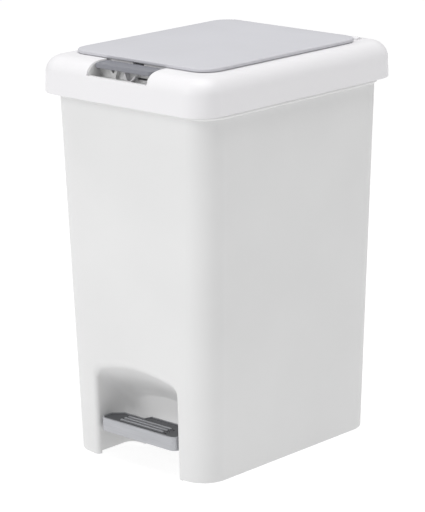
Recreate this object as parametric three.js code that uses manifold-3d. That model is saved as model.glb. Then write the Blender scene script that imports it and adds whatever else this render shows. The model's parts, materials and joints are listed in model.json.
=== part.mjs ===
// Pedal trash can: a plastic bin whose whole lid frame is lifted by a foot pedal, through a lever
// and a push rod, and whose inner lid springs open when the button at its front is pressed.
// Millimetres, +Z up, front (pedal side) towards -Y, origin at the middle of the base.
import * as THREE from "three";
import { mergeVertices } from "three/addons/utils/BufferGeometryUtils.js";
import Module from "manifold-3d";

const wasm = await Module();
wasm.setup();

// ---------------------------------------------------------------- driving dimensions
// Body
const bodyHalfX = 92.2; // at the floor
const bodyHalfY = 125.3; // at the floor
const bodyHeight = 365.4;
const flareX = 12.7; // how far each side leans out from floor to rim
const flareY = 5.9;
const bodyCorner = 27;
const bodyWall = 2.2;
const floorHeight = 42; // top of the inner floor
const footWidth = 8; // flange that the body stands on
const footThickness = 2.4;
const rimLip = 3;
const rimLipHeight = 2.8;

// Pedal alcove in the front wall
const alcoveHalfWidth = 54.5;
const alcoveDepth = 47;
const alcoveFrontTop = 102;
const alcoveBackTop = 61;
const alcoveArch = 5.5; // rise of the arched top over its corners
const alcoveTopCorner = 13;
const alcovePlanCorner = 10;
const alcoveMouthRound = 5;
const leverSlotHalfWidth = 35;
const leverSlotTop = 31;
const footStep = 5; // the alcove's lower edge is raised behind this
const footStepHeight = 3;

// Rod channel in the rear wall
const channelHalfWidth = 12;
const channelDepth = 9.3; // at the floor
const rodWidth = 10;
const rodThickness = 3.2;
const contactGap = 0.8; // between rod and lug, and between lever and rod

// Lid frame (the white ring)
const ringOverhangX = 7.3;
const ringOverhangY = 12.8;
const ringCorner = 27;
const ringWall = 2.4;
const rimGap = 0.6;
const skirtHeight = 19.1;
const shoulderRadius = 17;
const ringCrown = 0.6;
const rearSkirtLift = 5;

// Inner lid
const lidMarginX = 20.7;
const lidMarginFront = 29.5;
const lidMarginRear = 34;
const lidCorner = 20;
const lidEdge = 3.4;
const lidCrown = 0.7;
const lidGap = 0.5;
const linerInset = 7;
const linerDepth = 5.5;
const recessInset = 6;
const recessDepth = 6;
const apertureInset = 13;

// Pivots
const pedalPivotY = -5;
const pedalPivotZ = 22;
const axleRadius = 3;
const hingePinRadius = 2;
const smallPinRadius = 1.5;
const ringHingeInset = 9.7;
const ringHingeRise = 22;
const lugLead = 15; // the lifting lug sits this far in front of the ring's hinge
const lugDrop = 12;
const lugRadius = 4;
const flapPivotSetback = 5; // behind the inner lid's rear edge
const flapPivotDrop = 1.9; // below the ring's crown

// Pedal
const pedalHalfWidth = 51.5;
const pedalProud = 0.2; // in front of the body's foot line
const pedalTop = 41;
const pedalFace = 14;
const pedalCorner = 7;

// Press button
const buttonHalfWidth = 38.2;
const buttonHeight = 4.6;
const buttonDrop = 0.9; // its top below the ring's crown
const buttonDepth = 19.2;
const buttonGap = 0.8; // behind it, to the inner lid
const buttonCorner = 5;
const recessHalfWidth = 40;
const windowSill = 12.7; // below the ring's crown
const buttonPivotDrop = 9.4;

// Fasteners and fits
const fit = 0.35; // gap between pieces that touch or turn on each other
const screwRadius = 1.45;
const screwHeadRadius = 3;
const screwHeadHeight = 1.6;
const screwHole = screwRadius + fit;

const cornerSteps = 8;

// ---------------------------------------------------------------- derived places
const taperX = flareX / bodyHeight;
const taperY = flareY / bodyHeight;
const rimHalfX = bodyHalfX + flareX;
const rimHalfY = bodyHalfY + flareY;
const floorUnder = floorHeight - bodyWall;
const alcoveBackY = alcoveDepth - bodyHalfY;
const channelFrontY = bodyHalfY - channelDepth;
const rodY = channelFrontY + 4;

const ringHalfX = rimHalfX + ringOverhangX;
const ringHalfY = rimHalfY + ringOverhangY;
const ringBottom = bodyHeight + rimGap;
const shoulderStart = ringBottom + skirtHeight;
const shoulderTop = shoulderStart + shoulderRadius;
const ringTop = shoulderTop + ringCrown;
const ringHingeY = ringHalfY - ringHingeInset;
const ringHingeZ = ringBottom + ringHingeRise;
const lugY = ringHingeY - lugLead;
const lugZ = ringHingeZ - lugDrop;

const lidHalfX = ringHalfX - lidMarginX;
const lidFrontY = lidMarginFront - ringHalfY;
const lidRearY = ringHalfY - lidMarginRear;
const lidHalfY = (lidRearY - lidFrontY) / 2;
const lidMidY = (lidRearY + lidFrontY) / 2;
const lidBottom = ringTop + lidGap;
const lidEdgeTop = lidBottom + lidEdge;
const linerTop = lidBottom - fit;
const linerBottom = linerTop - linerDepth;
const recessFloor = ringTop - recessDepth;
const flapPivotY = lidRearY + flapPivotSetback;
const flapPivotZ = ringTop - flapPivotDrop;

const buttonPivotY = lidFrontY;
const buttonPivotZ = ringTop - buttonPivotDrop;
const buttonTop = ringTop - buttonDrop;
const buttonBottom = buttonTop - buttonHeight;
const buttonFrontY = lidFrontY - buttonGap - buttonDepth;
const sillZ = ringTop - windowSill;

// ---------------------------------------------------------------- materials
function plastic(color, roughness = 0.5) {
  return new THREE.MeshStandardMaterial({ color, roughness, metalness: 0 });
}

function metal(color, roughness = 0.35) {
  return new THREE.MeshStandardMaterial({ color, roughness, metalness: 0.9 });
}

const whiteBody = plastic(0xe6e6e6, 0.55);
const whiteRing = plastic(0xf4f3f5, 0.45);
const greyLid = plastic(0xcfcfd4, 0.5);
const greyButton = plastic(0x8f959d, 0.4);
const greyHousing = plastic(0xa4a6a8, 0.5);
const satinSilver = metal(0xc3c4c8, 0.4);
const darkPad = plastic(0x68696b, 0.6);
const blackPlastic = plastic(0x2f3032, 0.6);
const steel = metal(0xa9abad, 0.3);

// ---------------------------------------------------------------- solids
// A closed geometry as a manifold-3d solid.
function solid(geometry) {
  const bare = geometry.clone();
  bare.deleteAttribute("normal");
  bare.deleteAttribute("uv");
  const merged = mergeVertices(bare, 1e-4);
  const vertProperties = new Float32Array(merged.attributes.position.array);
  const triVerts = new Uint32Array(merged.index.array);
  return new wasm.Manifold(new wasm.Mesh({ numProp: 3, vertProperties, triVerts }));
}

function joined(...solids) {
  return solids.reduce((whole, next) => whole.add(next));
}

function cut(base, ...tools) {
  return tools.reduce((rest, tool) => rest.subtract(tool), base);
}

function box(x0, x1, y0, y1, z0, z1) {
  const geometry = new THREE.BoxGeometry(x1 - x0, y1 - y0, z1 - z0);
  return solid(geometry.translate((x0 + x1) / 2, (y0 + y1) / 2, (z0 + z1) / 2));
}

// A cylinder along X from x0 to x1, centred on (y, z).
function barX(radius, x0, x1, y, z, sides = 20) {
  const geometry = new THREE.CylinderGeometry(radius, radius, x1 - x0, sides);
  geometry.rotateZ(Math.PI / 2);
  return solid(geometry.translate((x0 + x1) / 2, y, z));
}

// A cylinder along Y from y0 to y1, centred on (x, z).
function barY(radius, y0, y1, x, z, sides = 16) {
  const geometry = new THREE.CylinderGeometry(radius, radius, y1 - y0, sides);
  return solid(geometry.translate(x, (y0 + y1) / 2, z));
}

// A cylinder along Z from z0 to z1, centred on (x, y).
function barZ(radius, z0, z1, x, y, sides = 16) {
  const geometry = new THREE.CylinderGeometry(radius, radius, z1 - z0, sides);
  geometry.rotateX(Math.PI / 2);
  return solid(geometry.translate(x, y, (z0 + z1) / 2));
}

// A side profile of [y, z] points, extruded from x0 to x1.
function sidePlate(points, x0, x1) {
  const shape = new THREE.Shape(points.map(([y, z]) => new THREE.Vector2(y, z)));
  const geometry = new THREE.ExtrudeGeometry(shape, { depth: x1 - x0, bevelEnabled: false });
  const along = new THREE.Vector3(0, 1, 0);
  const up = new THREE.Vector3(0, 0, 1);
  const across = new THREE.Vector3(1, 0, 0);
  geometry.applyMatrix4(new THREE.Matrix4().makeBasis(along, up, across));
  return solid(geometry.translate(x0, 0, 0));
}

// A plan outline (a THREE.Shape in X and Y), extruded from z0 to z1.
function planPlate(shape, z0, z1) {
  const settings = { depth: z1 - z0, bevelEnabled: false, curveSegments: cornerSteps };
  return solid(new THREE.ExtrudeGeometry(shape, settings).translate(0, 0, z0));
}

// A rounded rectangle at one height, counter-clockwise seen from above.
function roundedLevel(halfX, halfY, radius, z, middleY = 0) {
  const level = [];
  const centres = [
    [halfX - radius, halfY - radius],
    [radius - halfX, halfY - radius],
    [radius - halfX, radius - halfY],
    [halfX - radius, radius - halfY],
  ];
  centres.forEach(([x, y], quarter) => {
    for (let step = 0; step <= cornerSteps; step++) {
      const angle = ((quarter + step / cornerSteps) * Math.PI) / 2;
      const px = x + radius * Math.cos(angle);
      const py = middleY + y + radius * Math.sin(angle);
      level.push(new THREE.Vector3(px, py, z));
    }
  });
  return level;
}

// A closed skin through levels that have equally many points and are each convex.
function loft(levels) {
  const count = levels[0].length;
  const last = (levels.length - 1) * count;
  const index = [];
  for (let level = 0; level < levels.length - 1; level++) {
    for (let i = 0; i < count; i++) {
      const a = level * count + i;
      const b = level * count + ((i + 1) % count);
      index.push(a, b, b + count, a, b + count, a + count);
    }
  }
  for (let i = 1; i + 1 < count; i++) {
    index.push(0, i + 1, i);
    index.push(last, last + i, last + i + 1);
  }
  const geometry = new THREE.BufferGeometry().setFromPoints(levels.flat());
  geometry.setIndex(index);
  return solid(geometry);
}

function mirrored(make) {
  return [make(-1), make(1)];
}

// The x range of a piece that sits on one side of the middle, from its inner and outer distance.
function sideRange(side, inner, outer) {
  return side > 0 ? [inner, outer] : [-outer, -inner];
}

// ---------------------------------------------------------------- scene graph
// Each moving body is a group whose origin is its pivot.
function bodyGroup(y, z) {
  const group = new THREE.Group();
  group.position.set(0, y, z);
  return group;
}

// Adds a solid given in the part's frame to a body.
function addPiece(group, name, shape, material) {
  const { numProp, vertProperties, triVerts } = shape.getMesh();
  const geometry = new THREE.BufferGeometry();
  geometry.setAttribute("position", new THREE.BufferAttribute(vertProperties, numProp));
  geometry.setIndex(new THREE.BufferAttribute(triVerts, 1));
  geometry.translate(-group.position.x, -group.position.y, -group.position.z);
  const flat = geometry.toNonIndexed();
  flat.computeVertexNormals();
  const mesh = new THREE.Mesh(flat, material);
  mesh.name = name;
  group.add(mesh);
}

// A pan-head screw with its head's top at the origin and its shank along +Z.
function screwGeometry(length) {
  const outline = [
    [0, 0],
    [screwHeadRadius - 0.6, 0],
    [screwHeadRadius, 0.6],
    [screwHeadRadius, screwHeadHeight],
    [screwRadius, screwHeadHeight],
    [screwRadius, length - 1],
    [screwRadius * 0.5, length],
    [0, length],
  ];
  const profile = outline.map(([radius, height]) => new THREE.Vector2(radius, height));
  return new THREE.LatheGeometry(profile, 8).rotateX(Math.PI / 2);
}

// Adds a screw whose head's top is at (x, y, z) in the part's frame; it points up, or to -Y.
function addScrew(group, name, x, y, z, length, pointsForward = false) {
  const mesh = new THREE.Mesh(screwGeometry(length), steel);
  mesh.name = name;
  mesh.position.set(x, y - group.position.y, z - group.position.z);
  if (pointsForward) mesh.rotation.x = Math.PI / 2;
  group.add(mesh);
}

const bin = bodyGroup(0, 0);
const pedal = bodyGroup(pedalPivotY, pedalPivotZ);
const pushRod = bodyGroup(rodY, 0);
const lidFrame = bodyGroup(ringHingeY, ringHingeZ);
const innerLid = bodyGroup(flapPivotY, flapPivotZ);
const latchButton = bodyGroup(buttonPivotY, buttonPivotZ);

// ---------------------------------------------------------------- bin body
function bodyLevel(z, grow) {
  const halfX = bodyHalfX + taperX * z + grow;
  const halfY = bodyHalfY + taperY * z + grow;
  return roundedLevel(halfX, halfY, Math.max(bodyCorner + grow, 4), z);
}

function bodyRearY(z) {
  return bodyHalfY + taperY * z;
}

// One upright slice of the alcove: half width, crown height and corner of its arched top.
function alcoveSlice(inset, halfWidth, top) {
  const points = [];
  const below = -5;
  const side = top - alcoveArch - alcoveTopCorner;
  const place = (x, z) => new THREE.Vector3(x, inset - bodyHalfY - taperY * z, z);
  const flatHalf = halfWidth - alcoveTopCorner;
  points.push(place(-halfWidth, below), place(halfWidth, below));
  for (let step = 0; step <= 5; step++) {
    const angle = (step / 5) * 1.35;
    const x = flatHalf + alcoveTopCorner * Math.sin(Math.PI / 2 - angle);
    points.push(place(x, side + alcoveTopCorner * Math.cos(Math.PI / 2 - angle)));
  }
  const cornerX = points.at(-1).x;
  const cornerZ = points.at(-1).z;
  for (let step = 1; step < 12; step++) {
    const across = 1 - step / 6;
    points.push(place(cornerX * across, cornerZ + (top - cornerZ) * (1 - across * across)));
  }
  for (let i = 7; i >= 2; i--) points.push(place(-points[i].x, points[i].z));
  return points.reverse();
}

// The alcove as a loft from in front of the wall to its back, with a rounded mouth.
function alcoveSolid(grow) {
  const slices = [];
  const slice = (inset, extra, narrow, drop) => {
    const slope = Math.min(Math.max(inset, 0) / alcoveDepth, 1);
    const top = alcoveFrontTop - (alcoveFrontTop - alcoveBackTop) * slope - drop;
    slices.push(alcoveSlice(inset, alcoveHalfWidth + extra + grow - narrow, top + extra + grow));
  };
  slice(-8, alcoveMouthRound, 0, 0);
  for (let step = 0; step <= 4; step++) {
    const angle = ((step / 4) * Math.PI) / 2;
    const inset = alcoveMouthRound * (1 - Math.cos(angle));
    slice(inset, alcoveMouthRound * (1 - Math.sin(angle)), 0, 0);
  }
  for (let step = 0; step <= 6; step++) {
    const angle = ((step / 6) * Math.PI) / 2;
    const reach = alcovePlanCorner * Math.sin(angle);
    const narrow = alcovePlanCorner * (1 - Math.cos(angle));
    slice(alcoveDepth - alcovePlanCorner + reach + grow, 0, narrow, narrow * 0.25);
  }
  return loft(slices);
}

// Rear ear that carries one of the lid frame's hinge pins.
const earInner = 54;
const earOuter = 61;
const earRadius = 5;

function hingeEar(side) {
  const [x0, x1] = sideRange(side, earInner, earOuter);
  const rear = ringHingeY + earRadius;
  const front = ringHingeY - earRadius;
  const profile = [
    [rimHalfY - 1.5, bodyHeight - 34],
    [rimHalfY + 0.5, bodyHeight - 32],
    [rear, bodyHeight - 8],
    [rear, ringHingeZ],
    [front, ringHingeZ],
    [front, bodyHeight],
    [rimHalfY - 1.5, bodyHeight],
  ];
  return sidePlate(profile, x0, x1).add(barX(earRadius, x0, x1, ringHingeY, ringHingeZ));
}

// Under-floor block that carries the pedal axle.
const blockInner = 38;
const blockOuter = 46;
const blockHalfY = 15;
const blockBottom = pedalPivotZ - 6;
const axleScrewOffset = 11;

function axleBlock(side) {
  const [x0, x1] = sideRange(side, blockInner, blockOuter);
  const front = pedalPivotY - blockHalfY;
  const rear = pedalPivotY + blockHalfY;
  const block = box(x0, x1, front, rear, blockBottom, floorHeight - 0.5);
  const slot = axleRadius + fit;
  const seat = barX(slot, x0 - 1, x1 + 1, pedalPivotY, pedalPivotZ);
  const entry = box(x0 - 1, x1 + 1, pedalPivotY - slot, pedalPivotY + slot, blockBottom - 1, pedalPivotZ);
  const holes = [-1, 1].map((end) => {
    const y = pedalPivotY + end * axleScrewOffset;
    return barZ(screwHole, blockBottom - 1, blockBottom + 12, (x0 + x1) / 2, y, 12);
  });
  return cut(block, seat, entry, ...holes);
}

// Where the rod cover's screws go.
const coverScrewX = 16;
const coverScrewHeights = [70, bodyHeight - 55];
const coverThickness = 2;
const coverHalfWidth = 20;
const coverBossDepth = 7;

function coverBosses() {
  return coverScrewHeights.flatMap((z) =>
    mirrored((side) => {
      const rear = bodyRearY(z) - 1;
      return barY(4, rear - coverBossDepth, rear, side * coverScrewX, z, 12);
    }),
  );
}

function coverBossHoles() {
  return coverScrewHeights.flatMap((z) =>
    mirrored((side) => {
      const rear = bodyRearY(z);
      return barY(screwHole, rear - coverBossDepth + 1, rear + 2, side * coverScrewX, z, 12);
    }),
  );
}

function binBody() {
  const outer = loft([bodyLevel(0, -1), bodyLevel(1.2, 0), bodyLevel(bodyHeight, 0)]);
  const lipLow = bodyHeight - rimLipHeight;
  const lip = loft([
    bodyLevel(lipLow - 2, 0),
    bodyLevel(lipLow, rimLip),
    bodyLevel(bodyHeight - 0.6, rimLip),
    bodyLevel(bodyHeight, rimLip - 0.6),
  ]);
  const bag = loft([bodyLevel(floorHeight, -bodyWall), bodyLevel(bodyHeight + 5, -bodyWall)]);
  const under = loft([bodyLevel(footThickness, -bodyWall), bodyLevel(floorUnder, -bodyWall)]);
  const footOpening = loft([bodyLevel(-2, -footWidth), bodyLevel(footThickness + 0.5, -footWidth)]);
  const shell = outer.add(lip);

  const alcove = alcoveSolid(0);
  const alcoveSkin = alcoveSolid(bodyWall).intersect(outer);
  const skinHalf = channelHalfWidth + bodyWall;
  const skinFront = channelFrontY - bodyWall;
  const skinBlock = box(-skinHalf, skinHalf, skinFront, rimHalfY + 9, floorUnder, bodyHeight);
  const channelSkin = skinBlock.intersect(outer);
  const channel = box(
    -channelHalfWidth, channelHalfWidth, channelFrontY, rimHalfY + 20, -2, bodyHeight + 20,
  );

  const hollow = joined(bag, under, footOpening);
  const walls = joined(cut(shell, hollow), alcoveSkin, channelSkin, ...mirrored(hingeEar));
  const blocks = joined(...mirrored(axleBlock));
  const bosses = joined(...coverBosses()).intersect(outer);

  const leverSlot = box(
    -leverSlotHalfWidth, leverSlotHalfWidth, alcoveBackY - 12, alcoveBackY + 12, -2, leverSlotTop,
  );
  const raisedEdge = box(
    -alcoveHalfWidth - 9, alcoveHalfWidth + 9, footStep - bodyHalfY, alcoveBackY + 12, -2, footStepHeight,
  );
  const hingeHoles = mirrored((side) => {
    const [x0, x1] = sideRange(side, earInner - 1, earOuter + 1);
    return barX(hingePinRadius + fit, x0, x1, ringHingeY, ringHingeZ);
  });
  return cut(
    joined(walls, blocks, bosses), alcove, channel, leverSlot, raisedEdge, ...hingeHoles, ...coverBossHoles(),
  );
}

addPiece(bin, "bin_body", binBody(), whiteBody);

// ---------------------------------------------------------------- pedal axle and its clips
const axleHalfLength = blockOuter + 3;
const axleBar = barX(axleRadius, -axleHalfLength, axleHalfLength, pedalPivotY, pedalPivotZ);
addPiece(bin, "pedal_axle", axleBar, steel);

const clipThickness = 2.5;
const clipTop = blockBottom - fit;

function axleClip(side) {
  const [x0, x1] = sideRange(side, blockInner, blockOuter);
  const front = pedalPivotY - blockHalfY;
  const rear = pedalPivotY + blockHalfY;
  const strap = box(x0, x1, front, rear, clipTop - clipThickness, clipTop);
  const padTop = pedalPivotZ - axleRadius - fit;
  const pad = box(x0, x1, pedalPivotY - axleRadius, pedalPivotY + axleRadius, clipTop - 0.5, padTop);
  const holes = [-1, 1].map((end) => {
    const y = pedalPivotY + end * axleScrewOffset;
    return barZ(screwHole, clipTop - clipThickness - 1, clipTop + 1, (x0 + x1) / 2, y, 12);
  });
  return cut(strap.add(pad), ...holes);
}

const sideNames = { [-1]: "left", 1: "right" };

for (const side of [-1, 1]) {
  addPiece(bin, `axle_clip_${sideNames[side]}`, axleClip(side), blackPlastic);
  const headTop = clipTop - clipThickness - fit - screwHeadHeight;
  const x = (side * (blockInner + blockOuter)) / 2;
  addScrew(bin, `axle_screw_${sideNames[side]}_front`, x, pedalPivotY - axleScrewOffset, headTop, 14);
  addScrew(bin, `axle_screw_${sideNames[side]}_rear`, x, pedalPivotY + axleScrewOffset, headTop, 14);
}

// ---------------------------------------------------------------- rod cover, guides and rear hinge pins
const coverBottom = 8;
const coverTop = bodyHeight - 10;

function rodCover() {
  const inner = (z) => bodyRearY(z) + fit;
  const profile = [
    [inner(coverBottom), coverBottom],
    [inner(coverBottom) + coverThickness, coverBottom + 1],
    [inner(coverTop) + coverThickness, coverTop - 1],
    [inner(coverTop), coverTop],
  ];
  const holes = coverScrewHeights.flatMap((z) =>
    mirrored((side) => barY(screwHole, inner(z) - 2, inner(z) + 5, side * coverScrewX, z, 12)),
  );
  return cut(sidePlate(profile, -coverHalfWidth, coverHalfWidth), ...holes);
}

addPiece(bin, "rod_cover", rodCover(), whiteBody);
coverScrewHeights.forEach((z, row) => {
  for (const side of [-1, 1]) {
    const name = `cover_screw_${sideNames[side]}_${row ? "upper" : "lower"}`;
    const headTop = bodyRearY(z) + fit + coverThickness + fit + 0.15 + screwHeadHeight;
    addScrew(bin, name, side * coverScrewX, headTop, z, 9, true);
  }
});

const guideHeight = 8;

function rodGuide(z) {
  const half = channelHalfWidth - fit;
  const block = box(-half, half, channelFrontY + fit, channelFrontY + 8.4, z, z + guideHeight);
  const holeX = rodWidth / 2 + 0.4;
  const holeY = rodThickness / 2 + 0.4;
  return cut(block, box(-holeX, holeX, rodY - holeY, rodY + holeY, z - 1, z + guideHeight + 1));
}

addPiece(bin, "rod_guide_lower", rodGuide(92), blackPlastic);
addPiece(bin, "rod_guide_upper", rodGuide(bodyHeight - 88), blackPlastic);

const knuckleWidth = 7;
const knuckleGap = 1;
for (const side of [-1, 1]) {
  const reach = knuckleWidth + knuckleGap + 0.8;
  const [x0, x1] = sideRange(side, earInner - reach, earOuter + reach);
  const pin = barX(hingePinRadius, x0, x1, ringHingeY, ringHingeZ);
  addPiece(bin, `lid_hinge_pin_${sideNames[side]}`, pin, steel);
}

// ---------------------------------------------------------------- push rod
const leverTongueTop = 14.4; // height of the lever's rear pad under the rod
const rodBottom = leverTongueTop + contactGap;
const rodHeadTop = lugZ - lugRadius - contactGap;
const rodHeadThickness = 2.4;
const capHeight = 8;

function pushRodBar() {
  const x = rodWidth / 2;
  const y = rodThickness / 2;
  return box(-x, x, rodY - y, rodY + y, rodBottom + 2, rodHeadTop - rodHeadThickness);
}

// A plastic cap with a socket for the rod's end; the flat end bears on the lug or the lever.
function rodCap(z0, z1, socketFrom, socketTo, halfX, halfY) {
  const cap = box(-halfX, halfX, rodY - halfY, rodY + halfY, z0, z1);
  const x = rodWidth / 2 + fit;
  const y = rodThickness / 2 + fit;
  return cut(cap, box(-x, x, rodY - y, rodY + y, socketFrom, socketTo));
}

function rodHead() {
  const barTop = rodHeadTop - rodHeadThickness;
  const collar = rodCap(barTop - capHeight, barTop + 0.5, barTop - capHeight - 1, barTop + fit, 6.8, 3.2);
  return collar.add(box(-7, 7, rodY - 7, rodY + 7, barTop + fit, rodHeadTop));
}

addPiece(pushRod, "push_rod", pushRodBar(), steel);
addPiece(pushRod, "rod_head", rodHead(), blackPlastic);
addPiece(
  pushRod,
  "rod_shoe",
  rodCap(rodBottom, rodBottom + capHeight, rodBottom + 2 - fit, rodBottom + 20, 6.8, 3.2),
  blackPlastic,
);

// ---------------------------------------------------------------- pedal
const pedalFrontY = -bodyHalfY - pedalProud;
const treadRim = 1.6;
const treadWall = 2.2;
const treadDeep = 34; // front to rear, on the right-hand side
const treadShallow = 26; // and behind the step in the rear edge
const treadPlateTop = pedalTop - 2.3;
const treadPlateBottom = treadPlateTop - 2.4;
const leverPlateTop = treadPlateBottom - fit;
const leverPlateThickness = 3;
const treadStepX = -14;
const sideSkirt = 3; // depth of the cover's sides behind its front corners

// The pedal's plan outline, drawn inwards by an inset.
function treadShape(inset) {
  const x = pedalHalfWidth - inset;
  const front = pedalFrontY + inset;
  const radius = pedalCorner - inset;
  const deep = pedalFrontY + treadDeep - inset;
  const shallow = pedalFrontY + treadShallow - inset;
  const step = treadStepX + inset;
  const shape = new THREE.Shape();
  shape.moveTo(-x + radius, front);
  shape.lineTo(x - radius, front);
  shape.absarc(x - radius, front + radius, radius, -Math.PI / 2, 0);
  shape.lineTo(x, deep - 9);
  shape.lineTo(x - 9, deep);
  shape.lineTo(step + 2, deep);
  shape.lineTo(step, shallow);
  shape.lineTo(-x + 9, shallow);
  shape.lineTo(-x, shallow - 9);
  shape.absarc(-x + radius, front + radius, radius, Math.PI, 1.5 * Math.PI);
  return shape;
}

const ribHalfLength = 29.5;
const ribWidth = 2.4;
const ribRise = 0.6; // above the pedal's rim
const padDrop = 0.9; // below it
const drainRadius = 1.2;
const ribPitch = 5.6;
const ribFirst = 7.6; // from the pedal's front
const pedalScrewX = 38;
const pedalScrewY = pedalFrontY + 18;

function ribY(row) {
  return pedalFrontY + ribFirst + row * ribPitch;
}

function ribBox(row, grow, z0, z1) {
  const y = ribY(row);
  const halfWidth = ribWidth / 2 + grow;
  return box(-ribHalfLength - grow, ribHalfLength + grow, y - halfWidth, y + halfWidth, z0, z1);
}

function pedalCover() {
  const block = planPlate(treadShape(0), pedalTop - pedalFace, pedalTop);
  const padSeat = planPlate(treadShape(treadRim), treadPlateTop, pedalTop + 1);
  const underside = planPlate(treadShape(treadWall), pedalTop - pedalFace - 1, treadPlateBottom);
  const frontKept = pedalFrontY + pedalCorner;
  const farX = pedalHalfWidth + 1;
  const sideTrim = box(-farX, farX, frontKept, pedalFrontY + 60, 0, treadPlateBottom - sideSkirt);
  const rearY = pedalFrontY + treadShallow - 10;
  const rearTrim = box(-farX, farX, rearY, pedalFrontY + 60, 0, treadPlateBottom);
  const ribs = [0, 1, 2].map((row) => ribBox(row, 0, treadPlateTop - 0.5, pedalTop + ribRise));
  const holes = mirrored((side) =>
    barZ(screwHole, treadPlateBottom - 1, treadPlateBottom + 2, side * pedalScrewX, pedalScrewY, 12),
  );
  return joined(cut(block, padSeat, underside, sideTrim, rearTrim, ...holes), ...ribs);
}

function pedalPad() {
  const pad = planPlate(treadShape(treadRim + fit), treadPlateTop + fit, pedalTop - padDrop);
  const openings = [0, 1, 2].map((row) => {
    const drain = barZ(drainRadius, treadPlateTop, pedalTop + 1, ribHalfLength + 3, ribY(row), 10);
    return ribBox(row, fit, treadPlateTop, pedalTop + 1).add(drain);
  });
  return cut(pad, ...openings);
}

const armInner = 24;
const armOuter = 31;
const flangeDepth = 16.7; // the lever's side flanges, front to rear
const flangeLow = 28;
const bridgeLow = 11.5;
const bridgeHigh = 18.5;
const hubRadius = 8.5;
const bushWall = 1.8;
const armRearY = 60;
const tongueHalfWidth = 6.5;

function pedalLever() {
  const plateBottom = leverPlateTop - leverPlateThickness;
  const front = pedalFrontY + treadWall + 2;
  const plateRear = pedalFrontY + treadShallow + 2;
  const plate = box(-pedalHalfWidth + 5, pedalHalfWidth - 5, front, plateRear, plateBottom, leverPlateTop);
  const hubTop = pedalPivotZ + hubRadius;
  const hubLow = pedalPivotZ - hubRadius;
  const armWallTop = leverSlotTop - 2;
  const armWallBottom = armWallTop - 8.5;
  const armProfile = [
    [front, plateBottom - 0.2],
    [plateRear - 8, plateBottom - 4],
    [plateRear + 4, armWallBottom],
    [pedalPivotY - 30, hubLow + 4],
    [pedalPivotY, hubLow],
    [armRearY, bridgeLow],
    [armRearY, bridgeHigh],
    [pedalPivotY, hubTop],
    [pedalPivotY - 12, armWallTop],
    [plateRear + 9, armWallTop],
    [plateRear, leverPlateTop],
    [front, leverPlateTop],
  ];
  const arms = mirrored((side) => sidePlate(armProfile, ...sideRange(side, armInner, armOuter)));
  const hubs = mirrored((side) => {
    const [x0, x1] = sideRange(side, armInner, armOuter);
    return barX(hubRadius, x0, x1, pedalPivotY, pedalPivotZ, 28);
  });
  const bridge = box(-armOuter, armOuter, armRearY - 10, armRearY, bridgeLow, bridgeHigh);
  const tongueEnd = rodY + 4.5;
  const tongueProfile = [
    [armRearY - 9, 12],
    [tongueEnd - 2, 8],
    [tongueEnd, 10],
    [tongueEnd, leverTongueTop - 0.6],
    [rodY - 2, leverTongueTop - 0.1],
    [armRearY - 9, 18],
  ];
  const tongue = sidePlate(tongueProfile, -tongueHalfWidth, tongueHalfWidth);
  const flangeFront = pedalFrontY + pedalCorner + fit;
  const flangeRear = flangeFront + flangeDepth;
  const flangeTop = treadPlateBottom - sideSkirt - fit;
  const flanges = mirrored((side) => {
    const [w0, w1] = sideRange(side, pedalHalfWidth - 2.4, pedalHalfWidth);
    const [f0, f1] = sideRange(side, pedalHalfWidth - 7, pedalHalfWidth - 0.5);
    const [r0, r1] = sideRange(side, pedalHalfWidth - 7, pedalHalfWidth - 5);
    const wall = box(w0, w1, flangeFront, flangeRear, flangeLow, flangeTop);
    const link = box(f0, f1, flangeFront, flangeRear, flangeTop - 2.4, flangeTop);
    const riser = box(r0, r1, flangeFront, flangeRear, flangeTop - 2.4, leverPlateTop - 1);
    return joined(wall, link, riser);
  });
  const bores = mirrored((side) => {
    const [x0, x1] = sideRange(side, armInner - 1, armOuter + 1);
    const radius = axleRadius + 2 * fit + bushWall;
    return barX(radius, x0, x1, pedalPivotY, pedalPivotZ, 28);
  });
  const holes = mirrored((side) =>
    barZ(screwHole, plateBottom - 1, leverPlateTop + 1, side * pedalScrewX, pedalScrewY, 12),
  );
  return cut(joined(plate, ...arms, ...hubs, ...flanges, bridge, tongue), ...bores, ...holes);
}

function leverBush(side) {
  const [x0, x1] = sideRange(side, armInner - 0.7, armOuter + 0.7);
  const sleeve = barX(axleRadius + fit + bushWall, x0, x1, pedalPivotY, pedalPivotZ, 28);
  return cut(sleeve, barX(axleRadius + fit, x0 - 1, x1 + 1, pedalPivotY, pedalPivotZ, 28));
}

addPiece(pedal, "pedal_cover", pedalCover(), satinSilver);
addPiece(pedal, "pedal_pad", pedalPad(), darkPad);
addPiece(pedal, "pedal_lever", pedalLever(), blackPlastic);
for (const side of [-1, 1]) {
  addPiece(pedal, `lever_bush_${sideNames[side]}`, leverBush(side), whiteRing);
  const headTop = leverPlateTop - leverPlateThickness - fit - screwHeadHeight;
  addScrew(pedal, `pedal_screw_${sideNames[side]}`, side * pedalScrewX, pedalScrewY, headTop, 6.8);
}

// ---------------------------------------------------------------- lid frame
function ringLevel(z, grow) {
  return roundedLevel(ringHalfX + grow, ringHalfY + grow, Math.max(ringCorner + grow, 3), z);
}

// The ring's outside, or a parallel surface further in.
function ringSolid(inset, bottom) {
  const radius = shoulderRadius - inset;
  const levels = [ringLevel(bottom, -inset - 0.6), ringLevel(bottom + 0.8, -inset)];
  for (let step = 0; step <= 6; step++) {
    const angle = (step / 6) * 1.45;
    const grow = -inset - 0.6 - radius * (1 - Math.cos(angle));
    levels.push(ringLevel(shoulderStart + radius * Math.sin(angle), grow));
  }
  levels.push(ringLevel(ringTop - inset, -lidMarginX));
  return loft(levels);
}

function lidLevel(inset, z) {
  return roundedLevel(lidHalfX - inset, lidHalfY - inset, Math.max(lidCorner - inset, 2), z, lidMidY);
}

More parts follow.
